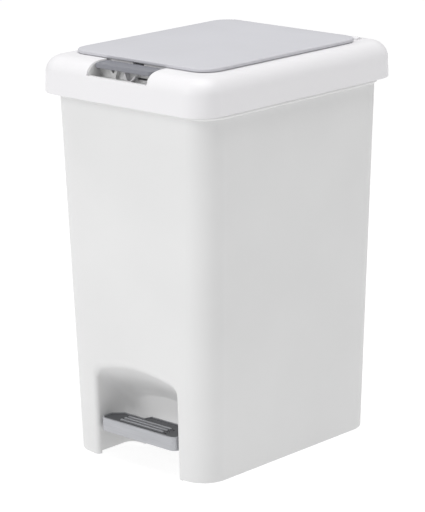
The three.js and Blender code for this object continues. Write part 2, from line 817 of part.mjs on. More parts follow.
function lidPrism(inset, z0, z1) {
  return loft([lidLevel(inset, z0), lidLevel(inset, z1)]);
}

const housingHalfWidth = recessHalfWidth - 0.4;
const housingWall = 1;
const housingScrewX = housingHalfWidth + 6;
const housingFrontY = 4 - ringHalfY;
const housingScrewY = buttonFrontY + 11;
const housingFloor = sillZ - 2.6;
const housingFloorBottom = housingFloor - 2;

const flapSlotInset = 25.5; // from the lid's side edge
const flapSlotX0 = lidHalfX - flapSlotInset;
const flapSlotX1 = flapSlotX0 + 9;
const flapBlockX0 = flapSlotX0 - 5.5;
const flapBlockX1 = flapSlotX1 + 9;
const flapBossRadius = 4.5;

// One of the knuckles that hang the ring on its rear hinge pins.
function ringKnuckle(x0, x1) {
  const web = [
    [ringHingeY - 3, ringHingeZ + 3],
    [ringHingeY + 3, ringHingeZ - 3],
    [ringHalfY - 1, ringHingeZ - 3],
    [ringHalfY - 1, ringTop],
    [ringHingeY - 6, ringTop],
  ];
  return barX(4.6, x0, x1, ringHingeY, ringHingeZ).add(sidePlate(web, x0, x1));
}

function liftingLug() {
  const halfWidth = 5;
  const stem = box(-halfWidth, halfWidth, lugY - lugRadius, lugY + lugRadius, lugZ, ringTop);
  return stem.add(barX(lugRadius, -halfWidth, halfWidth, lugY, lugZ));
}

// Ribs inside the skirt that rest the closed ring on the body's rim.
const sideRibPlaces = [-84, 0, 84];
const frontRibPlaces = [-66, 66];

function restRibs() {
  const ribs = [];
  for (const y of sideRibPlaces)
    for (const side of [-1, 1]) {
      const [x0, x1] = sideRange(side, rimHalfX - 3, ringHalfX);
      ribs.push(box(x0, x1, y - 1, y + 1, ringBottom, ringTop));
    }
  for (const x of frontRibPlaces) ribs.push(box(x - 1, x + 1, -ringHalfY, 3 - rimHalfY, ringBottom, ringTop));
  return ribs;
}

function flapBlock(side) {
  const [x0, x1] = sideRange(side, flapBlockX0, flapBlockX1);
  const front = flapPivotY - flapBossRadius;
  const rear = flapPivotY + flapBossRadius;
  const base = box(x0, x1, front, rear, ringTop - 9, flapPivotZ);
  return base.add(barX(flapBossRadius, x0, x1, flapPivotY, flapPivotZ));
}

function lidRing() {
  const outer = ringSolid(0, ringBottom);
  const inner = ringSolid(ringWall, ringBottom - 3);
  const shell = cut(outer, inner);
  const within = ringSolid(0.8, ringBottom);
  const tray = lidPrism(recessInset - ringWall, recessFloor - ringWall, ringTop - 1);
  const collar = lidPrism(apertureInset - ringWall, recessFloor - 10, recessFloor);
  const bosses = mirrored((side) =>
    barZ(3.6, housingFloorBottom + 2 + fit, ringTop, side * housingScrewX, housingScrewY, 16),
  );
  const knuckles = mirrored((side) => {
    const inner0 = earInner - knuckleGap - knuckleWidth;
    const outer0 = earOuter + knuckleGap;
    return joined(
      ringKnuckle(...sideRange(side, inner0, inner0 + knuckleWidth)),
      ringKnuckle(...sideRange(side, outer0, outer0 + knuckleWidth)),
    );
  });
  const inside = joined(tray, collar, liftingLug(), ...restRibs(), ...bosses, ...knuckles).intersect(within);
  const whole = joined(shell, inside, ...mirrored(flapBlock));

  const recess = lidPrism(recessInset, recessFloor, ringTop + 10);
  const aperture = lidPrism(apertureInset, recessFloor - 30, ringTop + 10);
  const far = ringHalfY + 20;
  const buttonCut = box(
    -recessHalfWidth, recessHalfWidth, -far, lidFrontY + 3, sillZ, ringTop + 10,
  );
  const hookWindow = box(-7, 7, lidFrontY + 2, lidFrontY + recessInset + 1, recessFloor + 0.3, ringTop + 5);
  const rearSkirt = box(
    -ringHalfX + 16, ringHalfX - 16, ringHingeY - 2, far, ringBottom - 5, ringBottom + rearSkirtLift,
  );
  const rodNotch = box(
    -channelHalfWidth - 1, channelHalfWidth + 1, ringHingeY, far, ringBottom - 5, ringHingeZ - 7,
  );
  const earSlots = mirrored((side) => {
    const [x0, x1] = sideRange(side, earInner - knuckleGap, earOuter + knuckleGap);
    return box(x0, x1, ringHingeY - 8, far, ringBottom - 5, ringHingeZ + 5.5);
  });
  const flapSlots = mirrored((side) => {
    const [x0, x1] = sideRange(side, flapSlotX0, flapSlotX1);
    return box(x0, x1, flapPivotY - 32, flapPivotY + 6.5, ringTop - 12, ringTop + 10);
  });
  const pinHoles = mirrored((side) => {
    const [x0, x1] = sideRange(side, 40, 80);
    return barX(hingePinRadius + fit, x0, x1, ringHingeY, ringHingeZ);
  });
  const flapHoles = mirrored((side) => {
    const [x0, x1] = sideRange(side, flapBlockX0 - 1, flapBlockX1 + 1);
    return barX(smallPinRadius + fit, x0, x1, flapPivotY, flapPivotZ, 14);
  });
  const bossHoles = mirrored((side) =>
    barZ(screwHole, housingFloor - 5, ringTop - 4, side * housingScrewX, housingScrewY, 12),
  );
  return cut(
    whole, recess, aperture, buttonCut, hookWindow, rearSkirt, rodNotch,
    ...earSlots, ...flapSlots, ...pinHoles, ...flapHoles, ...bossHoles,
  );
}

addPiece(lidFrame, "lid_ring", lidRing(), whiteRing);

// ---------------------------------------------------------------- latch housing
const housingRearY = lidFrontY + 2.6;
const innerHalf = housingHalfWidth - housingWall;
const pivotBlockInner = 31;
const panelY = buttonFrontY + 12;

// A forked post that stands beside the spring, seen from the front.
function forkedPost() {
  const shape = new THREE.Shape();
  const x = -19;
  const base = housingFloor - 0.5;
  shape.moveTo(x - 2, base);
  shape.lineTo(x + 4, base);
  shape.lineTo(x + 4.5, base + 4);
  shape.lineTo(x + 7, base + 9);
  shape.lineTo(x + 3.5, base + 9);
  shape.lineTo(x + 1, base + 5.5);
  shape.lineTo(x - 2, base + 9);
  shape.lineTo(x - 5.5, base + 9);
  shape.lineTo(x - 2.2, base + 4);
  const geometry = new THREE.ExtrudeGeometry(shape, { depth: 4, bevelEnabled: false });
  return solid(geometry.rotateX(Math.PI / 2).translate(0, panelY - 1.5, 0));
}

function latchHousing() {
  const front = housingFrontY;
  const block = box(-housingHalfWidth, housingHalfWidth, front, housingRearY, housingFloorBottom, ringTop);
  const bounded = block.intersect(ringSolid(0.5, ringBottom));
  const shellBelowSill = cut(ringSolid(-1, ringBottom), ringSolid(ringWall + 0.4, ringBottom - 3));
  const skinSpace = box(-60, 60, -ringHalfY - 5, housingRearY, ringBottom - 5, sillZ + fit);
  const skin = shellBelowSill.intersect(skinSpace);
  const pocket = box(-innerHalf, innerHalf, front + 2, housingRearY + 5, housingFloor, ringTop + 5);
  const opening = box(-innerHalf, innerHalf, front - 3, front + 3, sillZ, ringTop + 5);
  const rearTrim = box(-50, 50, lidFrontY - 1, housingRearY + 5, buttonPivotZ + 4, ringTop + 5);
  const tray = cut(bounded, skin, pocket, opening, rearTrim);

  const panelHalf = innerHalf + 0.5;
  const pivots = mirrored((side) => {
    const [x0, x1] = sideRange(side, pivotBlockInner, panelHalf);
    return box(x0, x1, buttonPivotY - 3.2, housingRearY, housingFloor - 0.5, buttonPivotZ + 3.2);
  });
  const panel = box(-panelHalf, panelHalf, panelY - 1.5, panelY, housingFloor - 0.5, ringTop - 8);
  const tabs = mirrored((side) => {
    const [x0, x1] = sideRange(side, housingHalfWidth - 1, housingScrewX + 4.5);
    return box(x0, x1, housingScrewY - 5, housingScrewY + 5, housingFloorBottom, housingFloorBottom + 2);
  });
  const panelSlot = box(10, 28, panelY - 3, panelY + 2, housingFloor + 2.2, housingFloor + 4.4);
  const pinHole = barX(smallPinRadius + fit, -innerHalf - 1, innerHalf + 1, buttonPivotY, buttonPivotZ, 14);
  const tabHoles = mirrored((side) =>
    barZ(screwHole, housingFloorBottom - 1, housingFloor + 1, side * housingScrewX, housingScrewY, 12),
  );
  const solidHousing = joined(tray, ...pivots, panel, forkedPost(), ...tabs);
  return cut(solidHousing, panelSlot, pinHole, ...tabHoles);
}

addPiece(lidFrame, "latch_housing", latchHousing(), greyHousing);
for (const side of [-1, 1]) {
  const headTop = housingFloorBottom - fit - screwHeadHeight;
  addScrew(lidFrame, `housing_screw_${sideNames[side]}`, side * housingScrewX, housingScrewY, headTop, 11);
}

const buttonPinHalf = pivotBlockInner + 4;
addPiece(
  lidFrame, "button_pin", barX(smallPinRadius, -buttonPinHalf, buttonPinHalf, buttonPivotY, buttonPivotZ, 14),
  steel,
);

// V-shaped leaf spring between the housing's floor and the button.
function buttonSpring() {
  const thickness = 0.8;
  const low = housingFloor + fit;
  const high = buttonTop - 2.2 - fit;
  const shape = new THREE.Shape();
  shape.moveTo(-8, high - thickness);
  shape.lineTo(-2, high - thickness);
  shape.lineTo(3, low);
  shape.lineTo(8, low);
  shape.lineTo(14, high - 6);
  shape.lineTo(14, high - 6 + thickness);
  shape.lineTo(13, high - 6 + thickness);
  shape.lineTo(7.5, low + thickness);
  shape.lineTo(3.5, low + thickness);
  shape.lineTo(-1.4, high);
  shape.lineTo(-8, high);
  const geometry = new THREE.ExtrudeGeometry(shape, { depth: 6, bevelEnabled: false });
  return solid(geometry.rotateX(Math.PI / 2).translate(0, panelY - 2.6, 0));
}

addPiece(lidFrame, "button_spring", buttonSpring(), whiteRing);

// ---------------------------------------------------------------- inner lid hinge pins and springs
const armWidth = 3.6;
for (const side of [-1, 1]) {
  const [x0, x1] = sideRange(side, flapBlockX0 + 0.6, flapBlockX1 - 0.6);
  addPiece(
    lidFrame, `flap_pin_${sideNames[side]}`, barX(smallPinRadius, x0, x1, flapPivotY, flapPivotZ, 14), steel,
  );
  const [s0, s1] = sideRange(side, flapSlotX0 + armWidth + 0.9, flapSlotX1 - 0.4);
  const coil = barX(smallPinRadius + 1.6, s0, s1, flapPivotY, flapPivotZ, 16);
  const bore = barX(smallPinRadius + fit, s0 - 1, s1 + 1, flapPivotY, flapPivotZ, 16);
  addPiece(lidFrame, `flap_spring_${sideNames[side]}`, cut(coil, bore), steel);
}

// ---------------------------------------------------------------- inner lid
const lidScrewX = lidHalfX - 36;
const lidScrewY = lidHalfY - 24;
const lidScrews = [
  ["front_left", -1, -1],
  ["front_right", 1, -1],
  ["rear_left", -1, 1],
  ["rear_right", 1, 1],
];

function lidPanel() {
  const skin = loft([
    lidLevel(0.8, lidBottom),
    lidLevel(0, lidBottom + 0.8),
    lidLevel(0, lidEdgeTop - 1.2),
    lidLevel(0.4, lidEdgeTop - 0.4),
    lidLevel(1.4, lidEdgeTop),
    lidLevel(14, lidEdgeTop + lidCrown * 0.7),
    lidLevel(30, lidEdgeTop + lidCrown),
  ]);
  const holes = lidScrews.map(([, sx, sy]) =>
    barZ(screwHole, lidBottom - 1, lidEdgeTop - 0.8, sx * lidScrewX, lidMidY + sy * lidScrewY, 12),
  );
  return cut(skin, ...holes);
}

// The hinge arm of the inner lid, from its liner back to its pin.
function flapArm(side) {
  const [x0, x1] = sideRange(side, flapSlotX0 + 0.4, flapSlotX0 + 0.4 + armWidth);
  const profile = [
    [flapPivotY - 42, linerBottom + 1],
    [flapPivotY - 4, flapPivotZ - 3.4],
    [flapPivotY, flapPivotZ - 4],
    [flapPivotY, flapPivotZ + 2],
    [flapPivotY - 42, flapPivotZ + 2],
  ];
  return sidePlate(profile, x0, x1).add(barX(4, x0, x1, flapPivotY, flapPivotZ));
}

const linerPlate = 2.3;

function lidLiner() {
  const block = lidPrism(linerInset, linerBottom, linerTop);
  const hollow = lidPrism(linerInset + 1.8, linerBottom - 1, linerTop - linerPlate);
  const notchRear = lidFrontY + linerInset + 3;
  const catchNotch = box(-6.4, 6.4, lidFrontY, notchRear, linerBottom - 1, linerBottom + 2.2);
  const holes = lidScrews.map(([, sx, sy]) =>
    barZ(screwHole, linerBottom - 1, linerTop + 1, sx * lidScrewX, lidMidY + sy * lidScrewY, 12),
  );
  const arms = mirrored(flapArm);
  const bores = mirrored((side) => {
    const [x0, x1] = sideRange(side, flapSlotX0, flapSlotX1);
    return barX(smallPinRadius + fit, x0, x1, flapPivotY, flapPivotZ, 14);
  });
  return cut(joined(cut(block, hollow, catchNotch), ...arms), ...holes, ...bores);
}

// A tongue through the liner's front rim, for the button's hook.
const catchFrontY = lidFrontY + 5.1;

function lidCatch() {
  const low = linerBottom - 0.2;
  const tongue = box(-6, 6, catchFrontY, lidFrontY + linerInset + 5, low, low + 2);
  const footFront = lidFrontY + linerInset + 2.2;
  const foot = box(-6, 6, footFront, footFront + 2.8, low, linerTop - linerPlate - fit);
  return tongue.add(foot);
}

addPiece(innerLid, "lid_panel", lidPanel(), greyLid);
addPiece(innerLid, "lid_liner", lidLiner(), whiteRing);
addPiece(innerLid, "lid_catch", lidCatch(), greyHousing);
for (const [place, sx, sy] of lidScrews) {
  const headTop = linerTop - linerPlate - fit - screwHeadHeight;
  addScrew(innerLid, `liner_screw_${place}`, sx * lidScrewX, lidMidY + sy * lidScrewY, headTop, 6.5);
}

// ---------------------------------------------------------------- press button
const hookGap = 0.4;

function pressButton() {
  const halfY = buttonDepth / 2;
  const middle = buttonFrontY + halfY;
  const level = (inset, z) =>
    roundedLevel(buttonHalfWidth - inset, halfY - inset, buttonCorner - inset, z, middle);
  const block = loft([level(0, buttonBottom), level(0, buttonTop - 0.8), level(0.8, buttonTop)]);
  const plateBottom = buttonTop - 2.2;
  const innerX = buttonHalfWidth - 2.2;
  const hollow = box(-innerX, innerX, buttonFrontY + 2.2, buttonFrontY + 60, buttonBottom - 1, plateBottom);
  const armProfile = [
    [buttonPivotY - 3, buttonPivotZ],
    [buttonPivotY + 3, buttonPivotZ],
    [buttonPivotY - 1.2, plateBottom + 0.5],
    [buttonPivotY - 6, plateBottom + 0.5],
  ];
  const arms = mirrored((side) => {
    const [x0, x1] = sideRange(side, pivotBlockInner - 4, pivotBlockInner - fit - 0.2);
    return sidePlate(armProfile, x0, x1).add(barX(3, x0, x1, buttonPivotY, buttonPivotZ));
  });
  const hookLow = linerBottom + 1.8 + fit;
  const hookTip = catchFrontY - hookGap;
  const hookProfile = [
    [lidFrontY - 3, hookLow],
    [hookTip, hookLow],
    [hookTip, hookLow + 2],
    [lidFrontY - 1, buttonTop - 0.3],
    [lidFrontY - 1.4, plateBottom + 0.5],
    [lidFrontY - 5, plateBottom + 0.5],
  ];
  const hook = sidePlate(hookProfile, -5, 5);
  const bores = mirrored((side) => {
    const [x0, x1] = sideRange(side, pivotBlockInner - 5, pivotBlockInner);
    return barX(smallPinRadius + fit, x0, x1, buttonPivotY, buttonPivotZ, 14);
  });
  return cut(joined(cut(block, hollow), ...arms, hook), ...bores);
}

addPiece(latchButton, "press_button", pressButton(), greyButton);

// ---------------------------------------------------------------- assembly
const trashCan = new THREE.Group();
trashCan.add(bin, pedal, pushRod, lidFrame, innerLid, latchButton);

export default trashCan;
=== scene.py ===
import json
import math

import bmesh
import bpy
from mathutils import Matrix, Vector


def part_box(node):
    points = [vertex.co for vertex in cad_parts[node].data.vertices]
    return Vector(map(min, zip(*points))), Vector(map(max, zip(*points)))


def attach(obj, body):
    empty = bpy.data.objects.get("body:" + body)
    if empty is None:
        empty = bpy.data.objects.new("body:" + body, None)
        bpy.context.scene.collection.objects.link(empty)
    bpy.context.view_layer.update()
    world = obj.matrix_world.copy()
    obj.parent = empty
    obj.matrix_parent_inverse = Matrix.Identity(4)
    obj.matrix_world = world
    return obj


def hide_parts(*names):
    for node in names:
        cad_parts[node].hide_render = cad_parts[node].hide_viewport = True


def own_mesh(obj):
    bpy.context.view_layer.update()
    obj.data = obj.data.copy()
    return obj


# Pedal trash can. Lengths in this script are in millimetres and become metres when a mesh is made.
MM = 0.001

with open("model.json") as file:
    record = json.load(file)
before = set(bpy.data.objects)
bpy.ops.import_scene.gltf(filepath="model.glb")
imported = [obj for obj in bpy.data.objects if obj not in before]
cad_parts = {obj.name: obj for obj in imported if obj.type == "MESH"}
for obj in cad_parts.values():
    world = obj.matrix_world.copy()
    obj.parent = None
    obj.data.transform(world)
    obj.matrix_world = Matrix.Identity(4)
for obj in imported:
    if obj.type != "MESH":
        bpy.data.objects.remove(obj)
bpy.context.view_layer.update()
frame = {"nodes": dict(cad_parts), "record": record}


# ---------------------------------------------------------------- sizes from the frame
def corners(node):
    low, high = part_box(node)
    return low / MM, high / MM


def joint_place(name):
    joint = next(j for j in frame["record"]["behaviour"]["joints"] if j["name"] == name)
    return Vector(joint["pos_m"]) / MM


body_low, body_high = corners("bin_body")
ring_low, ring_high = corners("lid_ring")
lid_low, lid_high = corners("lid_panel")
button_low, button_high = corners("press_button")
pedal_low, pedal_high = corners("pedal_cover")
spring_low, spring_high = corners("button_spring")
cover_low, cover_high = corners("rod_cover")
lid_hinge = joint_place("lid_lift")
flap_hinge = joint_place("inner_lid_hinge")
button_hinge = joint_place("button_press")
pedal_hinge = joint_place("pedal_press")

# Body
BODY_HEIGHT = 365.4
RIM_LIP = 3.0
RIM_LIP_HEIGHT = 2.8
FLARE_X = 12.7
FLARE_Y = 5.9
BODY_CORNER = 27.0
WALL = 2.2
FLOOR_HEIGHT = 42.0
FOOT_WIDTH = 8.0
FOOT_THICKNESS = 2.4
RIM_HALF_X = body_high.x - RIM_LIP
RIM_HALF_Y = -body_low.y - RIM_LIP
BASE_HALF_X = RIM_HALF_X - FLARE_X
BASE_HALF_Y = RIM_HALF_Y - FLARE_Y
TAPER_X = FLARE_X / BODY_HEIGHT
TAPER_Y = FLARE_Y / BODY_HEIGHT

# Alcove and rod channel
ALCOVE_HALF = 54.5
ALCOVE_DEPTH = 47.0
ALCOVE_FRONT_TOP = 102.0
ALCOVE_BACK_TOP = 61.0
ALCOVE_ARCH = 5.5
ALCOVE_TOP_CORNER = 13.0
ALCOVE_PLAN_CORNER = 10.0
ALCOVE_MOUTH = 5.0
ALCOVE_BACK = ALCOVE_DEPTH - BASE_HALF_Y
LEVER_SLOT_HALF = 35.0
LEVER_SLOT_TOP = 31.0
FOOT_STEP = 5.0
FOOT_STEP_HEIGHT = 3.0
CHANNEL_HALF = 12.0
CHANNEL_FRONT = BASE_HALF_Y - 9.3

# Lid ring
RING_HALF_X = ring_high.x
RING_HALF_Y = -ring_low.y
RING_BOTTOM = ring_low.z
RING_CORNER = 27.0
RING_WALL = 2.4
SHOULDER = 17.0
SHOULDER_START = RING_BOTTOM + 19.1
RING_TOP = SHOULDER_START + SHOULDER + 0.6

# Inner lid
LID_HALF_X = lid_high.x
LID_HALF_Y = (lid_high.y - lid_low.y) / 2
LID_MID_Y = (lid_high.y + lid_low.y) / 2
LID_CORNER = 20.0
LID_MARGIN_X = RING_HALF_X - LID_HALF_X
LID_EDGE_TOP = lid_low.z + 3.4
LINER_INSET = 7.0
RECESS_INSET = 6.0
RECESS_FLOOR = RING_TOP - 6.0
APERTURE_INSET = 13.0
LINER_TOP = lid_low.z - 0.35
LINER_BOTTOM = LINER_TOP - 5.5

# Latch
RECESS_HALF = 40.0
SILL = RING_TOP - 12.7
BUTTON_TOP = button_high.z
BUTTON_FRONT = button_low.y
BUTTON_HALF = button_high.x
BUTTON_REAR = lid_low.y - 0.8
BUTTON_HEIGHT = 4.6
BUTTON_CORNER = 5.0
HOUSING_HALF = RECESS_HALF - 0.4
HOUSING_FLOOR = SILL - 2.6
HOUSING_FRONT = 4.0 - RING_HALF_Y
PANEL_Y = BUTTON_FRONT + 12.0

CORNER_STEPS = 20


# ---------------------------------------------------------------- mesh tools
def as_object(name, bm):
    """A new object from a bmesh in millimetres."""
    bmesh.ops.scale(bm, vec=(MM, MM, MM), verts=bm.verts)
    mesh = bpy.data.meshes.new(name)
    bm.to_mesh(mesh)
    bm.free()
    obj = bpy.data.objects.new(name, mesh)
    bpy.context.scene.collection.objects.link(obj)
    return obj


def loft(levels, name="loft"):
    """A closed skin through equally long rings of points, capped at both ends."""
    bm = bmesh.new()
    rings = [[bm.verts.new(point) for point in level] for level in levels]
    count = len(rings[0])
    for lower, upper in zip(rings, rings[1:]):
        for i in range(count):
            j = (i + 1) % count
            bm.faces.new((lower[i], lower[j], upper[j], upper[i]))
    bm.faces.new(reversed(rings[0]))
    bm.faces.new(rings[-1])
    bmesh.ops.recalc_face_normals(bm, faces=bm.faces)
    return as_object(name, bm)


def prism(outline, axis, start, end, name="prism"):
    """A flat outline pushed along an axis: X takes (y, z) points, Y takes (x, z) and Z takes (x, y)."""
    place = {
        "X": lambda a, b, t: (t, a, b),
        "Y": lambda a, b, t: (a, t, b),
        "Z": lambda a, b, t: (a, b, t),
    }[axis]
    return loft([[place(a, b, t) for a, b in outline] for t in (start, end)], name)


def box(x0, x1, y0, y1, z0, z1):
    return prism([(x0, y0), (x1, y0), (x1, y1), (x0, y1)], "Z", z0, z1, "box")


def circle(radius, a, b, sides=32):
    turns = [2 * math.pi * i / sides for i in range(sides)]
    return [(a + radius * math.cos(t), b + radius * math.sin(t)) for t in turns]


def bar(axis, radius, start, end, a, b, sides=32):
    return prism(circle(radius, a, b, sides), axis, start, end, "bar")


def combine(base, operation, tools):
    """Joins or cuts solids and applies the result to the base."""
    for tool in tools:
        modifier = base.modifiers.new("combine", "BOOLEAN")
        modifier.solver = "MANIFOLD"
        modifier.operation = operation
        modifier.object = tool
    return applied(base, tools)


def applied(base, tools=()):
    """Makes the object's modifiers part of its mesh and removes the tools."""
    depsgraph = bpy.context.evaluated_depsgraph_get()
    mesh = bpy.data.meshes.new_from_object(base.evaluated_get(depsgraph))
    base.modifiers.clear()
    base.data = mesh
    for tool in tools:
        bpy.data.objects.remove(tool)
    return base


def cut(base, *tools):
    return combine(base, "DIFFERENCE", tools)


def joined(base, *tools):
    return combine(base, "UNION", tools)


def common(base, *tools):
    return combine(base, "INTERSECT", tools)


def mirrored(make):
    return [make(-1), make(1)]


def side_range(side, inner, outer):
    return (inner, outer) if side > 0 else (-outer, -inner)


def rounded_level(half_x, half_y, radius, z, middle_y=0.0):
    """A rounded rectangle at one height."""
    level = []
    middles = (
        (half_x - radius, half_y - radius),
        (radius - half_x, half_y - radius),
        (radius - half_x, radius - half_y),
        (half_x - radius, radius - half_y),
    )
    for quarter, (x, y) in enumerate(middles):
        for step in range(CORNER_STEPS + 1):
            angle = (quarter + step / CORNER_STEPS) * math.pi / 2
            level.append((x + radius * math.cos(angle), middle_y + y + radius * math.sin(angle), z))
    return level


def quarter_turn(steps, start=0.0, end=math.pi / 2):
    return [start + (end - start) * i / steps for i in range(steps + 1)]


def soften(obj, width=0.35, segments=2, angle=38.0):
    """Rounds the edges of a plain piece."""
    bevel = obj.modifiers.new("edge", "BEVEL")
    bevel.width = width * MM
    bevel.segments = segments
    bevel.limit_method = "ANGLE"
    bevel.angle_limit = math.radians(angle)
    return applied(obj)


def smooth(obj, angle=32.0):
    """Smooth faces, with sharp edges kept where the surface turns a corner."""
    bm = bmesh.new()
    bm.from_mesh(obj.data)
    bmesh.ops.remove_doubles(bm, verts=bm.verts, dist=1e-7)
    bmesh.ops.dissolve_degenerate(bm, edges=bm.edges, dist=1e-7)
    for face in bm.faces:
        face.smooth = True
    for edge in bm.edges:
        edge.smooth = edge.is_manifold and edge.calc_face_angle(0.0) < math.radians(angle)
    bm.to_mesh(obj.data)
    bm.free()
    normals = obj.modifiers.new("normals", "WEIGHTED_NORMAL")
    normals.keep_sharp = True
    normals.weight = 90
    return obj


# ---------------------------------------------------------------- materials
def linear(value):
    value /= 255
    return value / 12.92 if value <= 0.04045 else ((value + 0.055) / 1.055) ** 2.4


def colour(red, green, blue):
    return (linear(red), linear(green), linear(blue), 1.0)


class Surface:
    """A node material under construction."""

    def __init__(self, name):
        self.material = bpy.data.materials.new(name)
        self.material.use_nodes = True
        self.nodes = self.material.node_tree.nodes
        self.links = self.material.node_tree.links
        self.shader = self.nodes["Principled BSDF"]
        self.place = self.nodes.new("ShaderNodeTexCoord").outputs["Object"]

    def noise(self, scale, detail=4.0, stretch=(1.0, 1.0, 1.0)):
        mapping = self.nodes.new("ShaderNodeMapping")
        mapping.inputs["Scale"].default_value = stretch
        texture = self.nodes.new("ShaderNodeTexNoise")
        texture.inputs["Scale"].default_value = scale
        texture.inputs["Detail"].default_value = detail
        self.links.new(self.place, mapping.inputs["Vector"])
        self.links.new(mapping.outputs["Vector"], texture.inputs["Vector"])
        return texture.outputs["Fac"]

    def ramp(self, source, low, high):
        """Maps a 0..1 pattern to a colour between low and high."""
        ramp = self.nodes.new("ShaderNodeValToRGB")
        ramp.color_ramp.elements[0].position = 0.3
        ramp.color_ramp.elements[1].position = 0.7
        ramp.color_ramp.elements[0].color = low
        ramp.color_ramp.elements[1].color = high
        self.links.new(source, ramp.inputs["Fac"])
        return ramp.outputs["Color"]

    def level(self, source, low, high):
        """Maps a 0..1 pattern to a number between low and high."""
        scale = self.nodes.new("ShaderNodeMapRange")
        scale.inputs["From Min"].default_value = 0.3
        scale.inputs["From Max"].default_value = 0.7
        scale.inputs["To Min"].default_value = low
        scale.inputs["To Max"].default_value = high
        self.links.new(source, scale.inputs["Value"])
        return scale.outputs["Result"]

    def bump(self, source, height, strength=1.0, edge=0.0):
        """Fine relief, height in millimetres, over edges softened to a small radius."""
        bump = self.nodes.new("ShaderNodeBump")
        bump.inputs["Strength"].default_value = strength
        bump.inputs["Distance"].default_value = height * MM
        self.links.new(source, bump.inputs["Height"])
        if edge:
            rounding = self.nodes.new("ShaderNodeBevel")
            rounding.samples = 4
            rounding.inputs["Radius"].default_value = edge * MM
            self.links.new(rounding.outputs["Normal"], bump.inputs["Normal"])
        self.links.new(bump.outputs["Normal"], self.shader.inputs["Normal"])


def shaded(rgb, factor):
    return tuple(channel * factor for channel in rgb[:3]) + (1.0,)


def moulded(name, rgb, roughness, grain=1600.0, relief=0.02, mottle=0.03, soft=0.0, edge=0.5):
    """Injection-moulded plastic: a fine spark-eroded grain, faint flow mottling and uneven sheen."""
    surface = Surface(name)
    base = surface.ramp(surface.noise(9.0, 3.0), shaded(rgb, 1 - mottle), shaded(rgb, 1 + mottle / 2))
    surface.links.new(base, surface.shader.inputs["Base Color"])
    sheen = surface.level(surface.noise(28.0, 5.0), roughness - 0.05, roughness + 0.05)
    surface.links.new(sheen, surface.shader.inputs["Roughness"])
    surface.shader.inputs["Specular IOR Level"].default_value = 0.42
    surface.shader.inputs["Subsurface Weight"].default_value = soft
    surface.shader.inputs["Subsurface Radius"].default_value = (0.004, 0.004, 0.004)
    surface.bump(surface.noise(grain, 2.0), relief, 0.35, edge)
    return surface.material


def brushed(name, rgb, roughness, metallic, along, edge=0.3):
    """Brushed or lacquered metal finish, with streaks drawn out along one axis."""
    surface = Surface(name)
    streaks = surface.noise(900.0, 3.0, tuple(0.03 if axis == along else 1.0 for axis in "XYZ"))
    base = surface.ramp(streaks, shaded(rgb, 0.88), shaded(rgb, 1.05))
    surface.links.new(base, surface.shader.inputs["Base Color"])
    streaked = surface.level(streaks, roughness - 0.07, roughness + 0.07)
    surface.links.new(streaked, surface.shader.inputs["Roughness"])
    surface.shader.inputs["Metallic"].default_value = metallic
    surface.bump(streaks, 0.012, 0.4, edge)
    return surface.material


FINISH = {
    "white_body": moulded("white_body", colour(226, 226, 226), 0.5, relief=0.03, mottle=0.025, soft=0.04),
    "white_ring": moulded("white_ring", colour(234, 233, 235), 0.42, relief=0.015, mottle=0.015, soft=0.04),
    "grey_lid": moulded("grey_lid", colour(203, 203, 208), 0.46, relief=0.04, mottle=0.03),
    "grey_button": moulded("grey_button", colour(132, 133, 140), 0.34, relief=0.015, mottle=0.05),
    "grey_housing": moulded("grey_housing", colour(226, 226, 226), 0.45, relief=0.02, mottle=0.05),
    "dark_pad": moulded("dark_pad", colour(90, 91, 94), 0.55, grain=2400.0, relief=0.05, mottle=0.08),
    "black_plastic": moulded("black_plastic", colour(52, 53, 56), 0.5, relief=0.03, mottle=0.12),
    "silver": brushed("silver", colour(182, 183, 187), 0.36, 0.55, "X"),
    "steel": brushed("steel", colour(176, 178, 180), 0.32, 0.95, "Z"),
}


def dress(obj, slot):
    obj.data.materials.clear()
    obj.data.materials.append(FINISH[slot])
    return obj


def install(obj, name, body, slot, *nodes):
    """Names a finished piece, gives it its finish, and lets it ride and stand for its CAD nodes."""
    obj.name = name
    dress(obj, slot)
    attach(obj, body)
    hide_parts(*nodes)
    return obj


# ---------------------------------------------------------------- bin body
def body_level(z, grow, height=None):
    """The body's outline for the height of one edge, at a slightly different height if one is given."""
    half_x = BASE_HALF_X + TAPER_X * z + grow
    half_y = BASE_HALF_Y + TAPER_Y * z + grow
    return rounded_level(half_x, half_y, max(BODY_CORNER + grow, 4.0), z if height is None else height)


def rear_y(z):
    return BASE_HALF_Y + TAPER_Y * z


def alcove_slice(inset, half_width, top):
    """One upright slice across the alcove, with an arched top."""
    side = top - ALCOVE_ARCH - ALCOVE_TOP_CORNER
    flat_half = half_width - ALCOVE_TOP_CORNER
    right = []
    for angle in quarter_turn(10, 0.0, 1.35):
        across, up = ALCOVE_TOP_CORNER * math.cos(angle), ALCOVE_TOP_CORNER * math.sin(angle)
        right.append((flat_half + across, side + up))
    corner_x, corner_z = right[-1]
    arch = []
    for step in range(1, 24):
        across = 1 - step / 12
        arch.append((corner_x * across, corner_z + (top - corner_z) * (1 - across * across)))
    left = [(-x, z) for x, z in reversed(right)]
    outline = [(-half_width, -5.0), (half_width, -5.0)] + right + arch + left
    return [(x, inset - BASE_HALF_Y - TAPER_Y * z, z) for x, z in outline]


